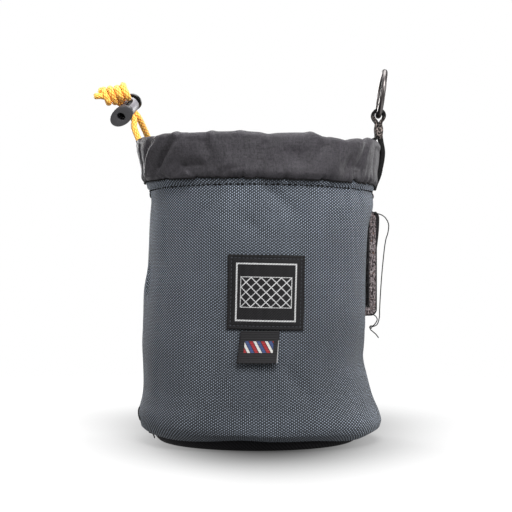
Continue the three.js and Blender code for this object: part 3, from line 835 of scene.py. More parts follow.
knot = {
    "start": (-71.2, -7.6, 196.9),
    "axis": (-1.0, 0.0, -0.25),
    "turns": 3.45,
    "pitch": 3.75,
    "radius": 3.75,
    "uneven": 0.11,
    "dive": 0.3,
    "length": 13.9,
    "slant": 1.4,  # how far each wrap leans along the knot
    "tails": {"b": {"out": 3.0, "up": 4.6, "forward": 0.6}, "a": {"out": 6.2, "up": 3.4, "forward": 1.4}},
}


def buildKnot(setup):
    out = unit(setup["axis"])
    side = unit(lockAxis - out * lockAxis.dot(out))
    up = np.cross(side, out)
    start = np.array(setup["start"])
    radius = cordRadius

    def place(along, across, height):
        return start + out * along + side * across + up * height

    wraps = []
    for share in np.linspace(0, 1, 90):
        turn = 2 * math.pi * setup["turns"] * share + math.pi / 3
        along = radius + setup["turns"] * setup["pitch"] * share + setup["slant"] * math.sin(turn + 0.6)
        wide = setup["radius"] * (1 + setup["uneven"] * math.sin(2.3 * turn))
        wraps.append(place(along, wide * math.cos(turn), wide * math.sin(turn)))
    dives = []  # both ends of the wrap dive into the knot
    for end in (wraps[0], wraps[-1]):
        middle = start + out * (end - start).dot(out)
        dives.append(middle + (end - middle) * setup["dive"])
    wraps = [dives[0], *wraps, dives[1]]
    tubes = [tubeMesh("wraps", evenPath(smoothPath(wraps, 400), 0.55), radius, 16)]
    for end, tail in setup["tails"].items():
        across = lock["pitch"] / 2 * (-1 if end == "a" else 1)
        length = setup["length"]
        route = [lockPoint(end, drawcord["exitRun"] - 0.8), lockPoint(end, drawcord["exitRun"] + radius),
                 place(length / 2, across, 0), place(length, across, tail["up"] / 4),
                 place(length + tail["out"] / 2, across - tail["forward"] / 3, tail["up"] * 0.7),
                 place(length + tail["out"], across - tail["forward"], tail["up"])]
        tubes.append(tubeMesh("tail", evenPath(smoothPath(route, 120), 0.5), radius, 18, 0.6))
    return addObject("cordKnot", joinMeshes("cordKnot", tubes), cordBraid)


cordKnot = buildKnot(knot)
dress(cordKnot, "cord_knot")
print("cords and knot made")


# Cord lock, in its own frame: X along the cord, Z from foot to head
def turned(name, profile, sides, squeeze=(1.0, 1.0), turn=0.0):
    # a body from (radius, height) pairs, squeezed to an oval but for the pairs with a third item
    around = np.arange(sides + 1) * 2 * math.pi / sides
    c, s = math.cos(math.radians(turn)), math.sin(math.radians(turn))
    rows = []
    for radius, z, *staysRound in profile:
        wide, deep = (1, 1) if staysRound else squeeze
        x = radius * wide * np.cos(around)
        y = radius * deep * np.sin(around)
        rows.append(np.stack([c * x - s * y, s * x + c * y, z + 0 * x], axis=1))
    points = np.array(rows)
    run = np.arange(len(rows), dtype=float)
    u, v = np.meshgrid(around * 5, run)
    return mended(gridMesh(name, points[:, :-1], np.stack([u, v], axis=2), wrap=True))


def slotCutter(width, low, high, turn, reach=12):
    # a long-holed prism across the lock, turned about its axis away from X
    half = width / 2
    arc = np.linspace(0, math.pi, 13)
    top = np.stack([half * np.cos(arc), high - half + half * np.sin(arc)], axis=1)
    bottom = np.stack([-half * np.cos(arc), low + half - half * np.sin(arc)], axis=1)
    outline = np.vstack([top, bottom])
    bm = bmesh.new()
    rings = []
    spin = Matrix.Rotation(math.radians(turn), 3, "Z")
    for x in (-reach, reach):
        rings.append([bm.verts.new(spin @ Vector((x, y, z)) * mm) for y, z in outline])
    for k in range(len(outline)):
        n = (k + 1) % len(outline)
        bm.faces.new((rings[0][k], rings[0][n], rings[1][n], rings[1][k]))
    bm.faces.new(rings[0])
    bm.faces.new(rings[1][::-1])
    bmesh.ops.recalc_face_normals(bm, faces=bm.faces)
    mesh = bpy.data.meshes.new("cutter")
    bm.to_mesh(mesh)
    bm.free()
    return addObject("cutter", mesh)


def carve(piece, cutters):
    for cutter in cutters:
        cut = piece.modifiers.new("cut", "BOOLEAN")
        cut.operation = "DIFFERENCE"
        cut.solver = "EXACT"
        cut.object = cutter
    bake(piece)
    for cutter in cutters:
        bpy.data.meshes.remove(cutter.data)


def edged(piece, width, angle=35):
    # softens sharp edges, so that they catch the light
    bevel = piece.modifiers.new("edges", "BEVEL")
    bevel.width = width * mm
    bevel.segments = 2
    bevel.limit_method = "ANGLE"
    bevel.angle_limit = math.radians(angle)
    bake(piece)
    piece.data.polygons.foreach_set("use_smooth", [True] * len(piece.data.polygons))
    piece.data.set_sharp_from_angle(angle=math.radians(angle))


def plasticFinish(name, colour, rough, grain):
    finish = Finish(name, Roughness=rough)
    patch = finish.noise(300, 3, 0.6)
    colours = finish.mixed(patch, tone(*colour), tone(*[min(255, c * 1.25 + 6) for c in colour]))
    fine = finish.noise(3500, 2, 0.6)
    return finish.give(colour=colours, roughness=rough - 0.08 + patch * 0.16,
                       normal=finish.raised(fine, grain, 0.0002))


lockBasis = Matrix([lockHole, np.cross(lockAxis, lockHole), lockAxis]).transposed().to_4x4()
lockBasis.translation = Vector(np.array(lock["middle"]) - lockAxis * lock["length"] / 2) * mm


def buildLock(setup):
    foot = setup["foot"]
    half = foot["length"] / 2
    oval = (1.0, foot["width"] / foot["length"])
    thick = foot["thickness"]
    hole = foot["hole"]
    plate = turned("foot", [
        (half - 0.7, 0), (half - 0.25, 0.18), (half, 0.7), (half, thick - 0.6), (half - 0.2, thick - 0.15),
        (half - 0.6, thick), (hole, thick, 1), (hole, 0.35, 1), (hole + 0.12, 0.1, 1), (hole + 0.4, 0, 1),
        (half - 0.7, 0)], 64, oval, foot["turn"])
    tube = setup["barrel"]
    wide, bore = tube["radius"], tube["bore"]
    barrel = addObject("lockBarrel", turned("lockBarrel", [
        (bore, tube["start"]), (wide, tube["start"]), (wide, tube["end"]), (bore, tube["end"]),
        (bore, tube["start"])], 72))
    slot, window = setup["slot"], setup["window"]
    carve(barrel, [slotCutter(slot["width"], slot["low"], slot["high"], 0),
                   slotCutter(window["width"], window["low"], window["high"], window["turn"])])
    edged(barrel, 0.22)
    tubeFaces = len(barrel.data.polygons)
    barrel.data = joinMeshes("lockBarrel", [barrel.data, plate])
    stem = setup["plunger"]
    under = setup["length"] - stem["headThickness"]
    head = stem["head"]
    top = setup["length"]
    plunger = addObject("lockPlunger", turned("lockPlunger", [
        (0, stem["low"]), (stem["stem"], stem["low"]), (stem["stem"], under), (head - 0.15, under),
        (head, under + 0.2), (head, top - 0.6), (head - 0.2, top - 0.2), (head - 0.65, top),
        (head - 1.3, top), (head - 1.6, top - 0.2), (0, top - 0.2)], 64))
    carve(plunger, [slotCutter(slot["width"], slot["low"], slot["high"] + stem["travel"], 0)])
    edged(plunger, 0.18)
    for piece in (barrel, plunger):
        piece.data.transform(lockBasis)
        piece.data.update()
    barrel.data.materials.clear()
    # painted light: barrel and foot are one plastic; the barrel gets a lighter copy as if lit, the foot a
    # darker copy as if in shade
    barrel.data.materials.append(plasticFinish("lockPlasticPaintedLit", (116, 114, 119), 0.36, 0.1))
    barrel.data.materials.append(plasticFinish("lockPlasticPaintedShade", (66, 65, 68), 0.42, 0.12))
    footFaces = np.arange(len(barrel.data.polygons)) >= tubeFaces
    barrel.data.polygons.foreach_set("material_index", footFaces.astype(np.int32))
    plunger.data.materials.clear()
    plunger.data.materials.append(plasticFinish("lockBlack", (18, 18, 19), 0.38, 0.12))
    return barrel, plunger


lockBarrel, lockPlunger = buildLock(lock)
dress(lockBarrel, "lock_barrel")
dress(lockPlunger, "lock_plunger", "plunger")
for end, path in endPaths.items():
    drawcord["diameter"] * mm
    fewPoints(path, drawcord["points"]) * mm
print("cord lock made")


# Body cloth
def bodyFinish():
    cloth = {"warp": tone(127, 136, 149), "weft": tone(77, 84, 94), "gap": tone(11, 14, 17)}
    finish = Finish("bodyWeave", **{"Sheen Weight": 0.06, "Sheen Roughness": 0.5})
    around, up = finish.place()
    wander = (finish.noise(90, 2, 0.5) - 0.5) * 0.7
    x = around / body["threads"]["across"] + wander
    y = up / body["threads"]["up"] - wander
    height, tint, over = weaveOf(finish, x, y)
    slub = finish.noise(1500, 2, 0.6)
    worn = finish.noise(26, 4, 0.65)
    # light runs along one slant of the weave in one place and along the other in the next
    turn = ((finish.noise(17, 1, 0.5) - 0.5) * 6).clamped()
    slant = ((x + y + 0.5) * math.pi).sine() * turn - ((x - y + 0.5) * math.pi).sine() * (1 - turn)
    # painted shade: the weave's slanted light and dark are painted stronger on the flanks than in front and
    # behind, standing in for the threads' shading in grazing light
    front = (around / mapGirth * 2 * math.pi).sine()
    paintedFlankShading = 1.6 - front * front * 1.05
    thread = finish.mixed(over, cloth["weft"], cloth["warp"])
    # painted light: the cloth is painted lighter upwards as if lit from above, lighter in its lowest 24 mm as
    # if lit from below, and lighter again just under the collar, where its shadow falls
    paintedLightByHeight = 0.8 + up * 0.0045 + (1 - up / 24).atLeast(0) * 0.6 + ((up - 118) / 30).clamped() * 0.16
    uneven = 0.95 + finish.chance(y.floor() + 0.71) * 0.08 + finish.chance(x.floor() + 0.13) * 0.03
    shade = (0.67 + tint * 0.1 + slub * 0.3) * (0.66 + worn * 0.64)
    shade = shade * (1 + slant * paintedFlankShading).atLeast(0.06) * paintedLightByHeight * uneven
    colour = finish.mixed((height * 1.7 - 0.42).clamped(), cloth["gap"],
                          finish.node("ShaderNodeVectorMath", {"operation": "SCALE"}, {0: thread, 3: shade}))
    return finish.give(colour=colour, roughness=0.74 + slub * 0.18,
                       normal=finish.raised(height + slub * 0.25, 1.0, 0.0007))


def hemRise(angle, z):
    # how far the waving hem lifts the cloth, most at its lower edge
    rise = np.zeros(np.shape(angle))
    for wave in body["hemWaves"]:
        rise += wave["rise"] * np.exp(-((turnFrom(wave["angle"], angle) / wave["spread"]) ** 2))
    reach = body["hemReach"]
    return rise * np.clip((reach["from"] - z) / reach["over"], 0, 1)


def buildBody(setup):
    angle, z = np.meshgrid(np.append(wallAngles, 360), wallHeights)
    radius = np.hstack([wallRadius, wallRadius[:, :1]])
    points = polar(angle, radius, z + hemRise(angle, z))
    run = distances(np.stack([radius.mean(axis=1), wallHeights], axis=1))
    uv = np.stack(np.meshgrid(angle[0] / 360 * mapGirth, run), axis=2)
    piece = addObject("bodyWall", gridMesh("bodyWall", points[:, :-1], uv, wrap=True), bodyFinish())
    thicken(piece, setup["cloth"])
    return bake(piece)


bodyWall = buildBody(body)
dress(bodyWall, "body_wall")
print("body made:", len(bodyWall.data.polygons), "faces")


# Base
base = {"radius": 58.0, "wall": 2.0, "rim": 11.0, "round": 6.0, "columns": 180, "offFloor": 0.02}


def twillFinish(name, light, dark, pitch):
    finish = Finish(name, Roughness=0.8, **{"Specular IOR Level": 0.2})
    u, v = finish.place()
    lean = ((u + v) / pitch * math.pi).sine() * 0.5 + 0.5
    step = (u / (pitch * 0.5) * math.pi).sine() * 0.5 + 0.5
    fibre = finish.noise(1800, 2, 0.6)
    height = lean * 0.75 + step * 0.25
    colour = finish.mixed(height * 0.8 + fibre * 0.3 - 0.1, tone(*dark), tone(*light))
    return finish.give(colour=colour, normal=finish.raised(height + fibre * 0.3, 0.8, 0.00035))


def buildBase(setup):
    radius, wall, rim, corner = setup["radius"], setup["wall"], setup["rim"], setup["round"]
    inner, low = corner - wall, setup["offFloor"]
    turn = np.linspace(0, math.pi / 2, 9)
    # radius, height and whether the map lies flat there
    flat = [(r, low, True) for r in np.linspace(0, radius - corner, 6)]
    edge = [(radius - corner + corner * math.sin(t), low + corner * (1 - math.cos(t)), False) for t in turn]
    lip = [(radius, rim - 0.5, False), (radius - 0.4, rim, False), (radius - wall + 0.4, rim, False),
           (radius - wall, rim - 0.5, False)]
    back = [(radius - corner + inner * math.sin(t), wall + inner * (1 - math.cos(t)), False)
            for t in turn[::-1]]
    floor = [(r, wall, True) for r in np.linspace(radius - corner, 0, 6)]
    profile = flat + edge + lip + back + floor
    around = np.arange(setup["columns"] + 1) * 2 * math.pi / setup["columns"]
    points = np.array([[(r * math.cos(t), r * math.sin(t), z) for t in around] for r, z, _ in profile])
    run = distances([(r, z) for r, z, _ in profile])
    uv = np.zeros(points.shape[:2] + (2,))
    for i, (_, _, planar) in enumerate(profile):
        uv[i] = points[i, :, :2] + 100 if planar else np.stack([around * radius, 0 * around + run[i]], axis=1)
    mesh = mended(gridMesh("basePanel", points[:, :-1], uv, wrap=True))
    return addObject("basePanel", mesh, twillFinish("baseTwill", (42, 41, 45), (8, 8, 9), 1.1))


basePanel = buildBase(base)
dress(basePanel, "base_panel")
print("base made")


# Collar cloth, with the openings that the cord's ends come out of
def collarFinish():
    finish = Finish("collarNylon", **{"Sheen Weight": 0.03, "Sheen Roughness": 0.4})
    u, v = finish.place()
    height, tint, _ = weaveOf(finish, u / 0.6, v / 0.6)
    worn = finish.noise(40, 3, 0.55)
    fine = finish.noise(2200, 2, 0.6)
    mottle = finish.noise(850, 3, 0.7)
    shade = (height * 0.3 + tint * 0.2 + fine * 0.3 + worn * 0.6 + mottle * 1.5 - 1.0).clamped()
    colour = finish.mixed(shade, tone(16, 15, 18), tone(72, 68, 75))
    ripple = finish.noise(420, 3, 0.6, (1, 1, 0.45))
    bumps = finish.raised(height * 0.3 + fine * 0.2 + ripple * 2.2, 0.55, 0.0006)
    return finish.give(colour=colour, roughness=0.52 + fine * 0.14 + worn * 0.1, normal=bumps)


def buildCollar(setup):
    rows = setup["rows"]
    angle = np.repeat(collarAngles[None], len(collarRadius), axis=0)
    radius, z = collarRadius.copy(), collarHeight.copy()
    outside, fold = rows["outside"], rows["fold"]
    # which way each row faces: out, round the fold, then in
    bend = np.linspace(0, math.pi, fold)
    turns = np.concatenate([np.zeros(outside), bend, np.full(rows["inside"], math.pi)])
    faceOut, faceUp = np.cos(turns)[:, None], np.sin(turns)[:, None]
    onOutside = (turns < 0.1)[:, None]
    # the lower edge arches with the seam
    seam = setup["seam"]
    level = np.cos(np.radians(angle - 180))
    edge = seam["front"] + ((seam["left"] + seam["right"]) / 2 - seam["front"]) * level**2
    edge = edge + (seam["left"] - seam["right"]) / 2 * level
    toSeam = np.concatenate([np.linspace(1, 0, outside), np.zeros(fold + rows["inside"])])[:, None]
    z = z - (setup["solidEdge"] - edge) * toSeam
    push = waves(angle, z, setup["swell"])
    push -= setup["foldGain"] * foldDepth(setup["folds"], angle, z, setup["radius"]) * (turns < 2.6)[:, None]
    bulge = setup["bulge"]
    push += bulge["out"] * np.exp(-(((z - edge - bulge["up"]) / bulge["width"]) ** 2)) * onOutside
    row = np.arange(len(turns))
    held = np.clip(row / 3, 0, 1) * np.clip((len(turns) - 1 - row) / 4, 0, 1)
    push *= np.maximum(held, 0.25)[:, None]
    push *= np.where(turns > 2.9, 0.45, 1.0)[:, None]
    gather = setup["gather"]
    gathered = tucks(setup["puckers"], angle, z, edge, setup["radius"])
    push += (gather["out"] * np.exp(-(((z - edge) / gather["width"]) ** 2)) - gathered) * onOutside
    radius = radius + push * faceOut
    z = z + push * faceUp + gather["lift"] * gathered * toSeam**3
    # the lower edge turns in against the body
    radius[0] -= 1.3
    z[0] -= 0.15
    radius[1] -= 0.45
    # no crease goes into the drawcord's channel or through the body's cloth
    fromCord = np.hypot(radius - collarHold[0], z - collarHold[1])
    room = np.maximum(setup["channel"] / np.maximum(fromCord, 0.1), 1)
    radius = collarHold[0] + (radius - collarHold[0]) * room
    z = collarHold[1] + (z - collarHold[1]) * room
    wall = np.linalg.norm(wallAt(angle, np.minimum(z, body["top"]))[..., :2], axis=2)
    low = (z < body["top"] + 0.6) & onOutside
    over = np.where(row == 0, 0.1, np.where(row == 1, 0.9, setup["cloth"] + 0.25))[:, None]
    radius = np.where(low, np.maximum(radius, wall + over), radius)
    deep = (z < body["top"] + 0.6) & (turns > 3)[:, None]
    radius = np.where(deep, np.minimum(radius, wall - body["cloth"] - setup["cloth"] - 0.15), radius)
    points = polar(angle, radius, z)
    # cloth stands up a little round each cord that comes out
    lips = setup["lips"]
    for path in endPaths.values():
        line = evenPath(path, 0.5)
        line = line[line[:, 2] > setup["exitLevel"]]
        apart = np.min(np.linalg.norm(points[:, :, None] - line[None, None], axis=3), axis=2)
        reach = np.exp(-((np.maximum(apart - lips["from"], 0) / lips["width"]) ** 2)) * lips["out"]
        lift = polar(angle, faceOut + 0 * angle, faceUp + 0 * angle)
        points = points + lift * reach[..., None]
    shift = np.linalg.norm(np.diff(points, axis=0), axis=2).mean(axis=1)
    run = np.concatenate([[0], np.cumsum(shift)])
    u = np.append(collarAngles, 360) / 360 * setup["girth"]
    uv = np.stack(np.meshgrid(u, run), axis=2)
    mesh = gridMesh("collar", points, uv, wrap=True)
    openCollar(mesh)
    piece = addObject("collarCloth", mesh, collarFinish())
    thicken(piece, setup["cloth"])
    # lines for the stitches along the inner hem, and for black stitches in the seam's crease that are painted
    # shadow under the collar's lower edge
    hem = [(point, -outward(point)) for point in points[-3]]
    paintedShadowLine = [(point + outward(point) * 0.3, outward(point)) for point in points[0]]
    return bake(piece), hem + hem[:1], paintedShadowLine + paintedShadowLine[:1]


def openCollar(mesh):
    room = cordRadius + drawcord["room"]
    bm = bmesh.new()
    bm.from_mesh(mesh)
    for path in endPaths.values():
        line = evenPath(path, 0.25)
        line = line[line[:, 2] > collar["exitLevel"]]
        near = {}
        for vert in bm.verts:
            gaps = np.linalg.norm(line - np.array(vert.co) / mm, axis=1)
            n = int(gaps.argmin())
            if gaps[n] < room:
                near[vert] = line[n]
        gone = [face for face in bm.faces if all(vert in near for vert in face.verts)]
        bmesh.ops.delete(bm, geom=gone, context="FACES")
        for vert, middle in near.items():
            if vert.is_valid and vert.link_faces:
                away = np.array(vert.co) / mm - middle
                vert.co = Vector(middle + away / max(np.linalg.norm(away), 1e-6) * room) * mm
    loose = [vert for vert in bm.verts if not vert.link_faces]
    bmesh.ops.delete(bm, geom=loose, context="VERTS")
    bm.to_mesh(mesh)
    bm.free()


collarPiece, collarHem, collarPaintedShadowLine = buildCollar(collar)
dress(collarPiece, "collar")
print("collar made:", len(collarPiece.data.polygons), "faces")


# Webbing of the strap and the belt loop
def webbingFinish(name, light, dark, rib, pitch, flecks=()):
    finish = Finish(name, Roughness=0.78, **{"Sheen Weight": 0.05, "Specular IOR Level": 0.25})
    u, v = finish.place()
    height, tint, _ = weaveOf(finish, u / rib, v / pitch)
    fibre = finish.noise(2600, 3, 0.65)
    shade = (height * 0.55 + tint * 0.3 + fibre * 0.35 - 0.15).clamped()
    colour = finish.mixed(shade, tone(*dark), tone(*light))
    for fleck in flecks:
        grain = finish.noise(fleck["scale"], 2, 0.6, fleck["stretch"])
        speck = ((grain - fleck["from"]) / 0.07).clamped()
        if "span" in fleck:  # only so far off a place on the band
            near, far = fleck["span"]
            off = abs(v - fleck["middle"])
            speck = speck * ((off - near) / 2).clamped() * ((far - off) / 2).clamped()
        colour = finish.mixed(speck, colour, tone(*fleck["colour"]))
    return finish.give(colour=colour, normal=finish.raised(height + fibre * 0.5, 1.0, 0.0005))


def bandSection(thick, wide, corner):
    # a band's section with rounded edges, (out, aside) pairs
    points = []
    for out, aside, start in ((1, 1, 0), (-1, 1, 90), (-1, -1, 180), (1, -1, 270)):
        for turn in np.radians(np.linspace(start, start + 90, 5)):
            points.append((out * (thick / 2 - corner) + corner * math.cos(turn),
                           aside * (wide / 2 - corner) + corner * math.sin(turn)))
    return points


strap = {
    "width": 8.0,
    "thickness": 1.8,
    "corner": 0.55,
    "leg": {"grow": 0.75, "over": 9, "end": 37, "off": 4},
    "pinch": {"grow": 0.45, "height": 175.2, "reach": 3.0},
    "tacks": [150.2, 151.4, 152.6, 173.0, 174.2, 175.4],
    "outside": [(66.4, 141.4), (67.4, 144.6), (69.0, 148.5), (70.1, 153), (71.1, 158), (71.5, 163),
                (70.7, 168), (70.0, 172.2), (69.9, 175.8), (69.85, 179.1), (70.6, 180.5)],
    "loop": {"middle": (68.8, 183.4), "radius": 3.2, "from": -38, "to": 218, "step": 32},
    "inside": [(67.0, 180.5), (67.85, 179.1), (67.8, 175.8), (67.9, 173.0), (67.2, 170.4), (65.0, 169.4),
               (62.8, 167.4), (61.9, 164), (61.7, 160), (61.4, 155.5), (61.0, 150.5)],
}
ring = {"radius": 12.6, "wire": 1.5, "lean": 8.0, "seat": (68.8, 183.4)}


def buildStrap(setup):
    (x, z), radius = setup["loop"]["middle"], setup["loop"]["radius"]
    turns = np.arange(setup["loop"]["from"], setup["loop"]["to"] + 1, setup["loop"]["step"])
    loop = [(x + radius * math.cos(math.radians(t)), z + radius * math.sin(math.radians(t))) for t in turns]
    route = [(x, 0, z) for x, z in (*setup["outside"], *loop, *setup["inside"])]
    path = evenPath(smoothPath(route, 600), 0.55)
    # the outer leg is doubled, and it thins where it goes into the seam
    run = np.linspace(0, pathLength(path), len(path))
    leg, pinch = setup["leg"], setup["pinch"]
    grow = leg["grow"] * np.clip(run / leg["over"], 0, 1) * np.clip((leg["end"] - run) / leg["off"], 0, 1)
    swell = pinch["grow"] * np.exp(-(((path[:, 2] - pinch["height"]) / pinch["reach"]) ** 2))
    band = np.array(bandSection(setup["thickness"], setup["width"], setup["corner"]))
    section = np.repeat(band[None], len(path), axis=0)
    section[..., 0] += np.where(section[..., 0] < 0, -grow[:, None], swell[:, None])
    mesh = sweep("hangStrap", path, section, (0, 1, 0))
    flecks = [{"scale": 1300, "stretch": (1, 1, 0.6), "from": 0.52, "colour": (168, 154, 148),
               "middle": 48.4, "span": (5, 19)}]
    finish = webbingFinish("strapWebbing", (22, 21, 22), (2, 2, 3), 0.9, 0.75, flecks)
    return addObject("hangStrap", mesh, finish), path


hangStrap, strapPath = buildStrap(strap)
dress(hangStrap, "hang_strap")


def metalFinish():
    finish = Finish("ringMetal", Metallic=1.0)
    wear = finish.noise(70, 3, 0.5)
    scratch = finish.noise(900, 2, 0.6, (1, 0.15, 1))
    colour = finish.mixed(wear, tone(84, 80, 79), tone(126, 121, 120))
    return finish.give(colour=colour, roughness=0.24 + wear * 0.12 + scratch * 0.06,
                       normal=finish.raised(scratch, 0.03, 0.0002))


def buildRing(setup):
    lean = math.radians(setup["lean"])
    rise = np.array([math.sin(lean), 0, math.cos(lean)])
    middle = np.array([setup["seat"][0], 0, setup["seat"][1]]) + rise * setup["radius"]
    ahead = np.array([0, 1.0, 0])
    axle = np.cross(rise, ahead)
    turn = np.linspace(0, 2 * math.pi, 121)
    wire = np.linspace(0, 2 * math.pi, 25)
    points = []
    for t in turn:
        way = rise * math.cos(t) + ahead * math.sin(t)
        points.append([middle + way * (setup["radius"] + setup["wire"] * math.cos(w))
                       + axle * setup["wire"] * math.sin(w) for w in wire[:-1]])
    uv = np.stack(np.meshgrid(wire * setup["wire"], turn * setup["radius"]), axis=2)
    return addObject("hangRing", mended(gridMesh("hangRing", np.array(points), uv, wrap=True)), metalFinish())


hangRing = buildRing(ring)
dress(hangRing, "hang_ring", "ring")
print("strap and ring made")

# Belt loop: layers of webbing, measured from the axis along the flat behind it
belt = {
    "angle": 14.0,
    "low": 70.0,
    "high": 129.6,
    "outside": 67.3,
    "round": 3.8,
    "seatGap": 0.25,
    "tongue": {"name": "beltLoopTongue", "wide": 24.0, "low": 109.0, "short": 0.9, "thick": (0.4, 1.7),
               "bendFrom": 0.86, "bend": 1.6},
    "stitchEdge": 2.4,
    "layers": [
        {"name": "beltLoopFace", "depth": 0.0, "thick": 0.8, "wide": 25.6, "finish": "dark"},
        {"name": "beltLoopCore", "depth": 0.75, "thick": 3.95, "wide": 26.0, "finish": "flecked"},
        {"name": "beltLoopBack", "depth": 4.65, "thick": 0.85, "wide": 25.6, "finish": "dark"},
    ],
}
beltTurn = math.radians(belt["angle"])
beltOut = np.array([math.cos(beltTurn), math.sin(beltTurn), 0])
beltAside = np.array([-math.sin(beltTurn), math.cos(beltTurn), 0])


def beltPoint(out, z):
    return beltOut * out + np.array([0, 0, z])


def beltPath(setup, depth):
    # middle line of a layer that lies so deep under the loop's outer face, from the lower seat to the upper
    out, low, high = setup["outside"] - depth, setup["low"] + depth, setup["high"] - depth
    bend = max(setup["round"] - depth, 0.8)
    turn = np.linspace(0, math.pi / 2, 14)
    lower = [(out - bend + bend * math.sin(t), low + bend - bend * math.cos(t)) for t in turn]
    upper = [(out - bend + bend * math.cos(t), high - bend + bend * math.sin(t)) for t in turn]
    seats = [np.linalg.norm(wallAt(setup["angle"], z)[:2]) + setup["seatGap"] for z in (low, high)]
    run = [(seats[0], low)] + lower + upper + [(seats[1], high)]
    return evenPath([beltPoint(*place) for place in run], 0.6)


def buildBelt(setup):
    finishes = {
        "dark": webbingFinish("loopDark", (42, 40, 42), (5, 5, 6), 1.5, 1.0),
        "flecked": webbingFinish("loopFlecked", (196, 183, 185), (96, 87, 89), 0.9, 0.8, [
            {"scale": 1500, "stretch": (1, 1, 0.5), "from": 0.48, "colour": (64, 56, 58)},
            {"scale": 1100, "stretch": (1, 1, 0.45), "from": 0.57, "colour": (26, 21, 23)},
            {"scale": 1300, "stretch": (1, 1, 0.6), "from": 0.6, "colour": (206, 197, 197)},
            {"scale": 700, "stretch": (1, 1, 0.6), "from": 0.62, "colour": (116, 84, 68)}]),
    }
    for layer in setup["layers"]:
        path = beltPath(setup, layer["depth"] + layer["thick"] / 2)
        section = bandSection(layer["thick"], layer["wide"], min(0.45, layer["thick"] * 0.42))
        mesh = sweep(layer["name"], path, section, beltAside)
        dress(addObject(layer["name"], mesh, finishes[layer["finish"]]), "belt_loop")
    # the band's cut end, folded over the top and down the face
    tongue = setup["tongue"]
    rise = np.linspace(0, 1, 30)
    thin, full = tongue["thick"]
    thick = thin + (full - thin) * np.sin(rise * math.pi * 0.62) / 0.98
    height = tongue["low"] + (setup["high"] - tongue["short"] - tongue["low"]) * rise
    inward = np.clip((rise - tongue["bendFrom"]) / (1 - tongue["bendFrom"]), 0, 1) ** 2 * tongue["bend"]
    path = [beltPoint(out, z) for out, z in zip(setup["outside"] + thick / 2 - 0.1 - inward, height)]
    section = np.array(bandSection(1.0, tongue["wide"], 0.15))[None] * np.ones((len(rise), 1, 1))
    section[..., 0] *= thick[:, None]
    mesh = sweep(tongue["name"], path, section, beltAside)
    dress(addObject(tongue["name"], mesh, finishes["dark"]))


buildBelt(belt)
print("belt loop made")

# Label and tab on the front
label = {
    "width": 40.4, "height": 39.6, "thickness": 0.9, "x": 4.6, "z": 84.8, "turn": 1.2, "hem": 1.9,
    "swell": {"out": 0.18, "seed": 3, "size": 30, "count": 6},
}
tab = {"width": 20.6, "height": 17.0, "thickness": 0.9, "x": 1.6, "shift": -1.6, "lift": 2.0}
frontRadius = 62.3
offCloth = 0.3  # from the body's cloth to the back of a patch


def frontPoint(x, z, out):
    return wallAt(270 + np.degrees(np.asarray(x) / frontRadius), z, out)


def labelPoint(across, up, out):
    turn = math.radians(label["turn"])
    return frontPoint(label["x"] + across * math.cos(turn) + up * math.sin(turn),
                      label["z"] + up * math.cos(turn) - across * math.sin(turn), out)


def tabPoint(across, down, out):
    # across from the middle in millimetres, down as a share of the height
    top = label["z"] - label["height"] / 2 - 0.4
    return frontPoint(tab["x"] + tab["shift"] * down + across, top - tab["height"] * down,
                      out + tab["lift"] * down * down)


def labelFinish():
    # black twill with a woven frame and a lattice of lozenges
    finish = Finish("labelWeave", Roughness=0.75, **{"Specular IOR Level": 0.3})
    u, v = finish.place()
    lean = ((u - v) / 0.7 * math.pi).sine() * 0.5 + 0.5
    fibre = finish.noise(2000, 2, 0.6)
    x = abs(u - label["width"] / 2)
    y = abs(v - label["height"] / 2)
    edge = (label["width"] / 2 - x).atMost(label["height"] / 2 - y)
    border = (edge > 4.4) * (edge < 5.2)
    left = (u - label["width"] / 2 + v - label["height"] / 2) / 5.2
    right = (u - label["width"] / 2 - v + label["height"] / 2) / 5.2
    lattice = ((abs(left % 1 - 0.5) > 0.43) + (abs(right % 1 - 0.5) > 0.43)).atMost(1) * (x < 13) * (y < 7.8)
    panel = (x < 13.4) * (y < 8.2) * (1 - (x < 13) * (y < 7.8))
    woven = (border + lattice + panel).atMost(1)
    ground = finish.mixed(lean * 0.7 + fibre * 0.3, tone(5, 5, 6), tone(27, 26, 29))
    thread = finish.mixed(lean * 0.6 + fibre * 0.4, tone(150, 150, 152), tone(226, 226, 226))
    return finish.give(colour=finish.mixed(woven, ground, thread),
                       normal=finish.raised(lean * 0.6 + fibre * 0.4 + woven * 0.8, 0.7, 0.0003))


def tabFinish():
    # black ribbon with a band of slanted stripes
    finish = Finish("tabWeave", Roughness=0.7, **{"Specular IOR Level": 0.3})
    u, v = finish.place()
    rib = (v / 0.45 * math.pi).sine() * 0.5 + 0.5
    fibre = finish.noise(2000, 2, 0.6)
    ground = finish.mixed(rib * 0.7 + fibre * 0.3, tone(8, 8, 9), tone(38, 37, 40))
    stripe = (u + v * 0.6) / 6.0 % 1
    inBand = (abs(v - tab["height"] / 2) < 3.0) * (abs(u - tab["width"] / 2) < 7.4)
    red = finish.mixed(inBand * (stripe < 0.3), ground, tone(150, 40, 44))
    white = finish.mixed(inBand * (stripe > 0.36) * (stripe < 0.6), red, tone(206, 204, 200))
    blue = finish.mixed(inBand * (stripe > 0.66) * (stripe < 0.94), white, tone(58, 74, 118))
    bordered = finish.mixed((u > tab["width"] - 0.55) * (v < 12), blue, tone(168, 168, 170))
    return finish.give(colour=bordered, normal=finish.raised(rib * 0.7 + fibre * 0.3, 0.6, 0.00025))


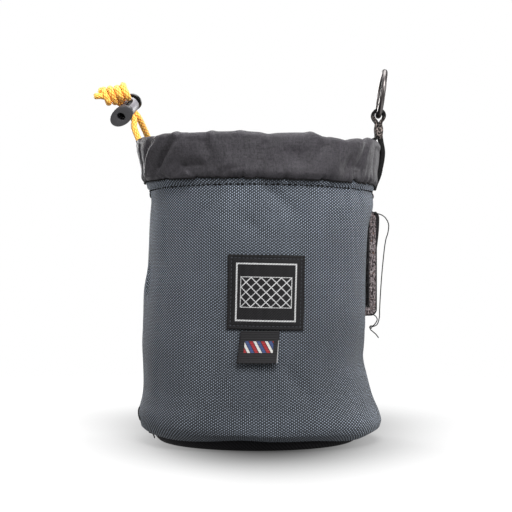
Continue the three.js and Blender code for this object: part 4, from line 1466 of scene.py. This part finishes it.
def buildLabel(setup):
    share = np.linspace(-0.5, 0.5, 81)
    across, up = np.meshgrid(share * setup["width"], share * setup["height"])
    edge = np.minimum(setup["width"] / 2 - np.abs(across), setup["height"] / 2 - np.abs(up))
    sunk = 0.35 * np.exp(-(((edge - setup["hem"]) / 0.7) ** 2))
    out = offCloth + setup["thickness"] - sunk - 0.35 * np.exp(-edge / 0.35)
    out = out + waves(across * 9, up, setup["swell"]) * np.clip(edge / 6, 0, 1)
    uv = np.stack([across + setup["width"] / 2, up + setup["height"] / 2], axis=2)
    piece = addObject("labelPatch", gridMesh("labelPatch", labelPoint(across, up, out), uv), labelFinish())
    thicken(piece, setup["thickness"])
    return bake(piece)


def buildTab(setup):
    across, down = np.meshgrid(np.linspace(-0.5, 0.5, 41) * setup["width"], np.linspace(1, 0, 36))
    out = offCloth + setup["thickness"] + 0.25 * np.sin(across / setup["width"] * 5 + 0.6) * down
    out = out - 0.3 * np.exp(-(setup["width"] / 2 - np.abs(across)) / 0.3)
    uv = np.stack([across + setup["width"] / 2, (1 - down) * setup["height"]], axis=2)
    piece = addObject("labelTab", gridMesh("labelTab", tabPoint(across, down, out), uv), tabFinish())
    thicken(piece, setup["thickness"])
    return bake(piece)


labelPatch = buildLabel(label)
labelTab = buildTab(tab)
dress(labelPatch, "label_patch")
dress(labelTab, "label_tab")
print("label and tab made")


# Stitches: one tree of geometry nodes sets a thread over and over along a seam's line
class Run:
    def __init__(self, name):
        self.tree = bpy.data.node_groups.new(name, "GeometryNodeTree")

    def socket(self, name, kind, way="INPUT"):
        self.tree.interface.new_socket(name=name, in_out=way, socket_type=kind)

    def node(self, kind, settings=None, sockets=None):
        made = self.tree.nodes.new(kind)
        for key, value in (settings or {}).items():
            setattr(made, key, value)
        for key, value in (sockets or {}).items():
            if isinstance(value, bpy.types.NodeSocket):
                self.tree.links.new(value, made.inputs[key])
            else:
                made.inputs[key].default_value = value
        return made.outputs[0]


def stitchTree():
    run = Run("stitchRun")
    run.socket("Geometry", "NodeSocketGeometry")
    for size in ("Spacing", "Length", "Width"):
        run.socket(size, "NodeSocketFloat")
    run.socket("Thread", "NodeSocketMaterial")
    run.socket("Geometry", "NodeSocketGeometry", "OUTPUT")
    given = run.tree.nodes.new("NodeGroupInput").outputs
    line = run.node("GeometryNodeMeshToCurve", None, {0: given["Geometry"]})
    marks = run.node("GeometryNodeResampleCurve", {"mode": "LENGTH"},
                     {"Curve": line, "Length": given["Spacing"]})
    bead = run.node("GeometryNodeMeshUVSphere", None, {"Segments": 8, "Rings": 6, "Radius": 0.5})
    size = run.node("ShaderNodeCombineXYZ", None, {0: given["Length"], 1: given["Width"], 2: given["Width"]})
    thread = run.node("GeometryNodeTransform", None, {"Geometry": bead, "Scale": size})
    smooth = run.node("GeometryNodeSetShadeSmooth", None, {"Geometry": thread})
    tangent = run.node("GeometryNodeInputTangent")
    lift = run.node("GeometryNodeInputNamedAttribute", {"data_type": "FLOAT_VECTOR"}, {"Name": "lift"})
    along = run.node("FunctionNodeAlignRotationToVector", {"axis": "X"}, {"Vector": tangent})
    upright = run.node("FunctionNodeAlignRotationToVector", {"axis": "Z", "pivot_axis": "X"},
                       {"Rotation": along, "Vector": lift})
    lean = run.node("FunctionNodeRandomValue", {"data_type": "FLOAT_VECTOR"},
                    {0: (-0.06, -0.06, -0.12), 1: (0.06, 0.06, 0.12), "Seed": 7})
    leant = run.node("FunctionNodeRotateRotation", {"rotation_space": "LOCAL"}, {0: upright, 1: lean})
    laid = run.node("GeometryNodeInstanceOnPoints", None,
                    {"Points": marks, "Instance": smooth, "Rotation": leant})
    real = run.node("GeometryNodeRealizeInstances", None, {0: laid})
    done = run.node("GeometryNodeSetMaterial", None, {"Geometry": real, "Material": given["Thread"]})
    out = run.tree.nodes.new("NodeGroupOutput")
    run.tree.links.new(done, out.inputs[0])
    return run.tree


stitching = stitchTree()


def threadFinish(name, colour):
    finish = Finish(name, Roughness=0.75, **{"Specular IOR Level": 0.25})
    fibre = finish.noise(4000, 2, 0.6)
    return finish.give(colour=finish.mixed(fibre, tone(*[c * 0.6 for c in colour]), tone(*colour)))


def sew(name, lines, setup, thread):
    # lines: lists of (point, way out of the cloth), in millimetres
    points, lifts, edges = [], [], []
    for line in lines:
        first = len(points)
        for point, lift in line:
            points.append(Vector(point) * mm)
            lifts.append(lift)
        edges += [(n, n + 1) for n in range(first, len(points) - 1)]
    mesh = bpy.data.meshes.new(name)
    mesh.from_pydata(points, edges, [])
    layer = mesh.attributes.new("lift", "FLOAT_VECTOR", "POINT")
    layer.data.foreach_set("vector", np.array(lifts, float).ravel())
    piece = addObject(name, mesh)
    rows = piece.modifiers.new("stitches", "NODES")
    rows.node_group = stitching
    sizes = {"Spacing": setup["spacing"] * mm, "Length": setup["length"] * mm, "Width": setup["width"] * mm,
             "Thread": thread}
    for item in stitching.interface.items_tree:
        if item.in_out == "INPUT" and item.name in sizes:
            rows[item.identifier] = sizes[item.name]
    bake(piece)
    dress(piece)


seams = {
    "top": {"spacing": 3.1, "length": 2.3, "width": 0.8, "out": 0.15},
    "paintedShadowLine": {"spacing": 1.5, "length": 1.7, "width": 0.75},
    "label": {"spacing": 2.0, "length": 1.6, "width": 0.42},
    "tack": {"spacing": 1.0, "length": 0.9, "width": 0.42, "out": 0.05, "half": 3.1},
    "belt": {"spacing": 2.4, "length": 1.9, "width": 0.5, "out": 0.05},
    "hem": {"spacing": 3.2, "length": 2.5, "width": 0.55},
}
blackThread = threadFinish("blackThread", (12, 12, 13))
charcoalThread = threadFinish("charcoalThread", (92, 90, 94))
greyThread = threadFinish("greyThread", (74, 76, 82))


def seamLine(out):
    line = []
    for angle in np.linspace(0, 360, 721):
        point = wallAt(angle, seamHeight(angle), out)
        line.append((point, outward(point)))
    return line


sew("topStitches", [seamLine(seams["top"]["out"])], seams["top"], blackThread)


def labelLines(setup):
    lines = []
    x, y = setup["width"] / 2 - setup["hem"], setup["height"] / 2 - setup["hem"]
    out = offCloth + setup["thickness"] - 0.25
    corners = [(-x, -y), (x, -y), (x, y), (-x, y), (-x, -y)]
    for (x0, y0), (x1, y1) in zip(corners, corners[1:]):
        line = []
        for share in np.linspace(0, 1, 60):
            point = labelPoint(x0 + (x1 - x0) * share, y0 + (y1 - y0) * share, out)
            line.append((point, outward(point)))
        lines.append(line)
    return lines


sew("labelStitches", labelLines(label), seams["label"], greyThread)
# painted shadow: a close row of black stitches in the seam's crease stands for the dark line of shade under
# the collar's edge
sew("paintedShadowStitches", [collarPaintedShadowLine], seams["paintedShadowLine"], blackThread)
sew("hemStitches", [collarHem], seams["hem"], charcoalThread)


def beltLines(setup):
    path = beltPath(setup, 0.0)
    face = path[path.dot(beltOut) > setup["outside"] - 0.2]
    low, high = face[:, 2].min(), setup["tongue"]["low"] - 1
    edge = setup["layers"][0]["wide"] / 2 - setup["stitchEdge"]
    # a row along each edge, then pairs of rows across
    out = beltOut * seams["belt"]["out"]
    face = face[(face[:, 2] >= low) & (face[:, 2] <= high)]
    lines = [[(point + beltAside * place + out, beltOut) for point in face] for place in (-edge, edge)]
    for z in (low + 0.6, low + 2.2, high - 1.6, high):
        point = beltPoint(setup["outside"], z) + out
        lines.append([(point + beltAside * place, beltOut) for place in np.linspace(-edge, edge, 30)])
    return lines


def strapLines(setup):
    # rows across the outer leg, under the ring's loop and over the seam
    outer = strapPath[:np.argmax(strapPath[:, 2])]
    tangent = unit(np.gradient(outer, axis=0))
    tack = seams["tack"]
    lines = []
    for z in setup["tacks"]:
        n = int(np.abs(outer[:, 2] - z).argmin())
        out = np.array([tangent[n][2], 0, -tangent[n][0]])
        point = outer[n] + out * (setup["thickness"] / 2 + tack["out"])
        across = np.linspace(-tack["half"], tack["half"], 16)
        lines.append([(point + np.array([0, place, 0]), out) for place in across])
    return lines


sew("beltStitches", beltLines(belt), seams["belt"], charcoalThread)
sew("strapStitches", strapLines(strap), seams["tack"], charcoalThread)
print("stitches sewn")

# A loose sewing thread at the belt loop, tied to it at its lower end
looseThread = {
    "diameter": 0.6,
    "points": 36,  # points along the path
    "route": [(65.9, 3.4, 127.3), (68.6, 2.4, 128.0), (72.2, 1.6, 126.4), (74.6, 1.2, 122.4),
              (74.4, 1.2, 117.6), (73.1, 1.4, 113.1), (71.4, 1.8, 98.9), (70.3, 2.2, 84.7),
              (69.7, 2.4, 73.4), (69.5, 2.4, 68.8), (68.0, 1.6, 64.9), (64.9, 0.7, 63.7)],
    "bits": [
        [(65.6, 3.6, 71.0), (67.6, 2.6, 69.6), (68.3, 2.0, 67.9), (66.6, 1.0, 65.0), (64.8, 0.4, 63.9)],
        [(64.4, 0.6, 63.9), (64.2, 0.2, 62.6), (65.6, -0.6, 61.2), (67.4, -0.8, 59.6), (68.9, -1.0, 57.6)],
        [(65.2, 0.9, 64.4), (64.2, 0.2, 64.2), (63.9, 0.3, 63.2), (64.9, 0.6, 63.0), (65.2, 0.9, 63.9)],
    ],
}
threadPath = evenPath(smoothPath(looseThread["route"], 300), 0.6)
threadRadius = looseThread["diameter"] / 2
threadPiece = addObject("looseThread", tubeMesh("looseThread", threadPath, threadRadius, 8), blackThread)
bits = [tubeMesh("bit", evenPath(smoothPath(bit, 80), 0.5), threadRadius, 8) for bit in looseThread["bits"]]
threadBits = addObject("threadBits", joinMeshes("threadBits", bits), blackThread)
for piece in (threadPiece, threadBits):
    dress(piece)
fewPoints(threadPath, looseThread["points"]) * mm

# Short ends of sewing thread that stick out of the seams, as degrees round, height and way off the cloth
endRadius = 0.36
threadEnds = [
    [(186, 140.7, -0.2), (187, 139.5, 0.7), (188, 137.9, 0.9), (188, 136.5, 0.5)],
    [(356, 139.5, -0.2), (357, 138.5, 0.5), (357, 137.3, 0.6), (357, 136.3, 0.2)],
    [(191, 20.6, -0.2), (192, 18.4, 0.5), (193, 15.6, 0.6), (193, 12.6, 0.2)],
    [(198, 6.3, -0.2), (198, 5.5, 0.9), (198, 4.3, 1.5), (199, 3.1, 1.4)],
]
ends = []
for end in threadEnds:
    line = [wallAt(angle, z, out) for angle, z, out in end]
    ends.append(tubeMesh("end", evenPath(smoothPath(line, 40), 0.4), endRadius, 8))
endPiece = addObject("threadEnds", joinMeshes("threadEnds", ends), blackThread)
dress(endPiece)
print("loose threads made")
